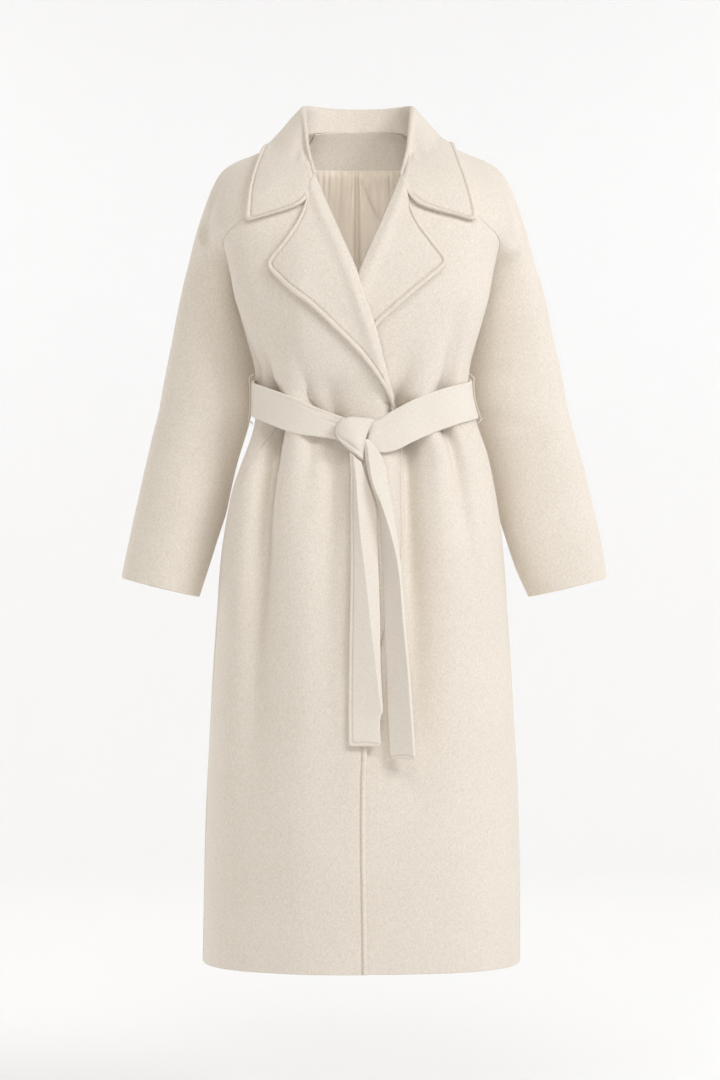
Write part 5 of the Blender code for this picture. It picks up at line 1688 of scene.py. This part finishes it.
@dataclass(frozen=True)
class Studio:
    """A pale sweep, soft lamps and the camera at the photo's viewing angle."""

    floor_z: float = -1.45
    wall_y: float = 5.6
    sweep: float = 1.6
    half_width: float = 9.0
    front_y: float = -6.5
    top_z: float = 4.6
    camera_place: tuple[float, float, float] = (-0.0021, -4.5, -0.574)
    view_angle: float = 19.07
    air: tuple[float, float, float] = (1.0, 0.91, 0.80)
    air_strength: float = 0.315

    def build(self) -> None:
        """Set up backdrop, world, lamps and camera."""
        self.backdrop()
        world = bpy.data.worlds.new("studio_air")
        world.use_nodes = True
        feed(world.node_tree, world.node_tree.nodes["Background"], {
            "Color": (*self.air, 1.0), "Strength": self.air_strength})
        scene = bpy.context.scene
        scene.world = world
        scene.view_settings.view_transform = "Standard"
        for lamp in (Softbox("key", (2.5, -2.4, 1.7), (0.0, 0.0, -0.5), 1.4, 73.0, (0.97, 1.0, 1.06)),
                     Softbox("top", (0.1, -2.5, 2.3), (0.0, 0.0, -0.3), 1.2, 30.0),
                     Softbox("front", (0.0, -4.2, -0.9), (0.0, 0.0, -0.5), 1.4, 26.0),
                     Softbox("rim_left", (-2.4, 0.7, -0.4), (0.0, 0.0, -0.7), 1.6, 22.0),
                     Softbox("rim_right", (2.4, 0.7, -0.3), (0.0, 0.0, -0.6), 1.6, 13.0),
                     Softbox("neck", (-0.0026, -0.06, -0.13), (-0.0026, 0.09, -0.12), 0.08, 0.06),
                     Softbox("floor", (0.0, 2.4, 2.4), (0.0, 2.6, -1.45), 2.4, 34.0),
                     Softbox("backdrop_left", (-3.0, 2.9, 1.4), (-1.1, 5.6, -0.9), 2.0, 42.5),
                     Softbox("backdrop_right", (3.0, 2.9, 1.4), (1.1, 5.6, -0.9), 2.0, 41.0)):
            lamp.build()
        camera = bpy.data.cameras.new("photo_camera")
        camera.sensor_fit = "VERTICAL"
        camera.angle = np.radians(self.view_angle)
        camera.clip_end = 40.0
        holder = bpy.data.objects.new("photo_camera", camera)
        holder.location = self.camera_place
        holder.rotation_euler = (np.pi / 2, 0.0, 0.0)
        scene.collection.objects.link(holder)
        scene.camera = holder

    def backdrop(self) -> None:
        """A floor that sweeps up into a wall: straight, quarter circle, straight."""
        angle = np.linspace(0, np.pi / 2, 24)
        bend_y = self.wall_y - self.sweep + self.sweep * np.sin(angle)
        bend_z = self.floor_z + self.sweep - self.sweep * np.cos(angle)
        y = np.concatenate([[self.front_y], bend_y, [self.wall_y]])
        z = np.concatenate([[self.floor_z], bend_z, [self.top_z]])
        x = np.array([-self.half_width, self.half_width])
        points = np.stack([np.repeat(x[None], len(y), axis=0), np.repeat(y[:, None], 2, axis=1),
                           np.repeat(z[:, None], 2, axis=1)], axis=-1).reshape(-1, 3)
        index = np.arange(len(points)).reshape(len(y), 2)
        faces = np.stack([index[:-1, 0], index[:-1, 1], index[1:, 1], index[1:, 0]], axis=1)
        paper = bpy.data.materials.new("pale_paper")
        paper.use_nodes = True
        tree = paper.node_tree
        grain = add_node(tree, "ShaderNodeTexNoise", {"Scale": 3.0})
        tone = add_node(tree, "ShaderNodeMix", {
            "A": (0.895, 0.905, 0.92, 1.0), "B": (0.915, 0.925, 0.94, 1.0), "Factor": grain.outputs["Fac"],
        }, data_type="RGBA")
        feed(tree, tree.nodes["Principled BSDF"], {"Roughness": 0.9, "Base Color": tone.outputs["Result"]})
        sweep = mesh_object("studio_sweep", points, faces, {}, paper)


def main() -> None:
    """Build the coat in order: panels, lapels, collar, inside, belt, then the studio."""
    logging.basicConfig(level=logging.INFO)
    finishes = Finishes.build()
    fronts = Fronts(finishes).build()
    back = Back(finishes).build()
    sleeves = Sleeves(finishes).build()
    Lapel("lapel_right", -1, RIGHT_LAPEL_HEAD, RIGHT_LAPEL_EDGE, -401.0, overlap_lift).build(finishes)
    Lapel("lapel_left", 1, LEFT_LAPEL_HEAD, LEFT_LAPEL_EDGE, -342.0, no_lift).build(finishes)
    Collar(finishes).build([fronts[-1], fronts[1], back, sleeves[-1], sleeves[1]])
    BackInside(finishes).build(*back)
    Belt(finishes).build()
    for name, node, side in (("thread_loop_right", "belt_loop_right", -1),
                             ("thread_loop_left", "belt_loop_left", 1)):
        BeltLoop(name, node, side).build(finishes)
    Studio().build()


if __name__ == "__main__":
    main()
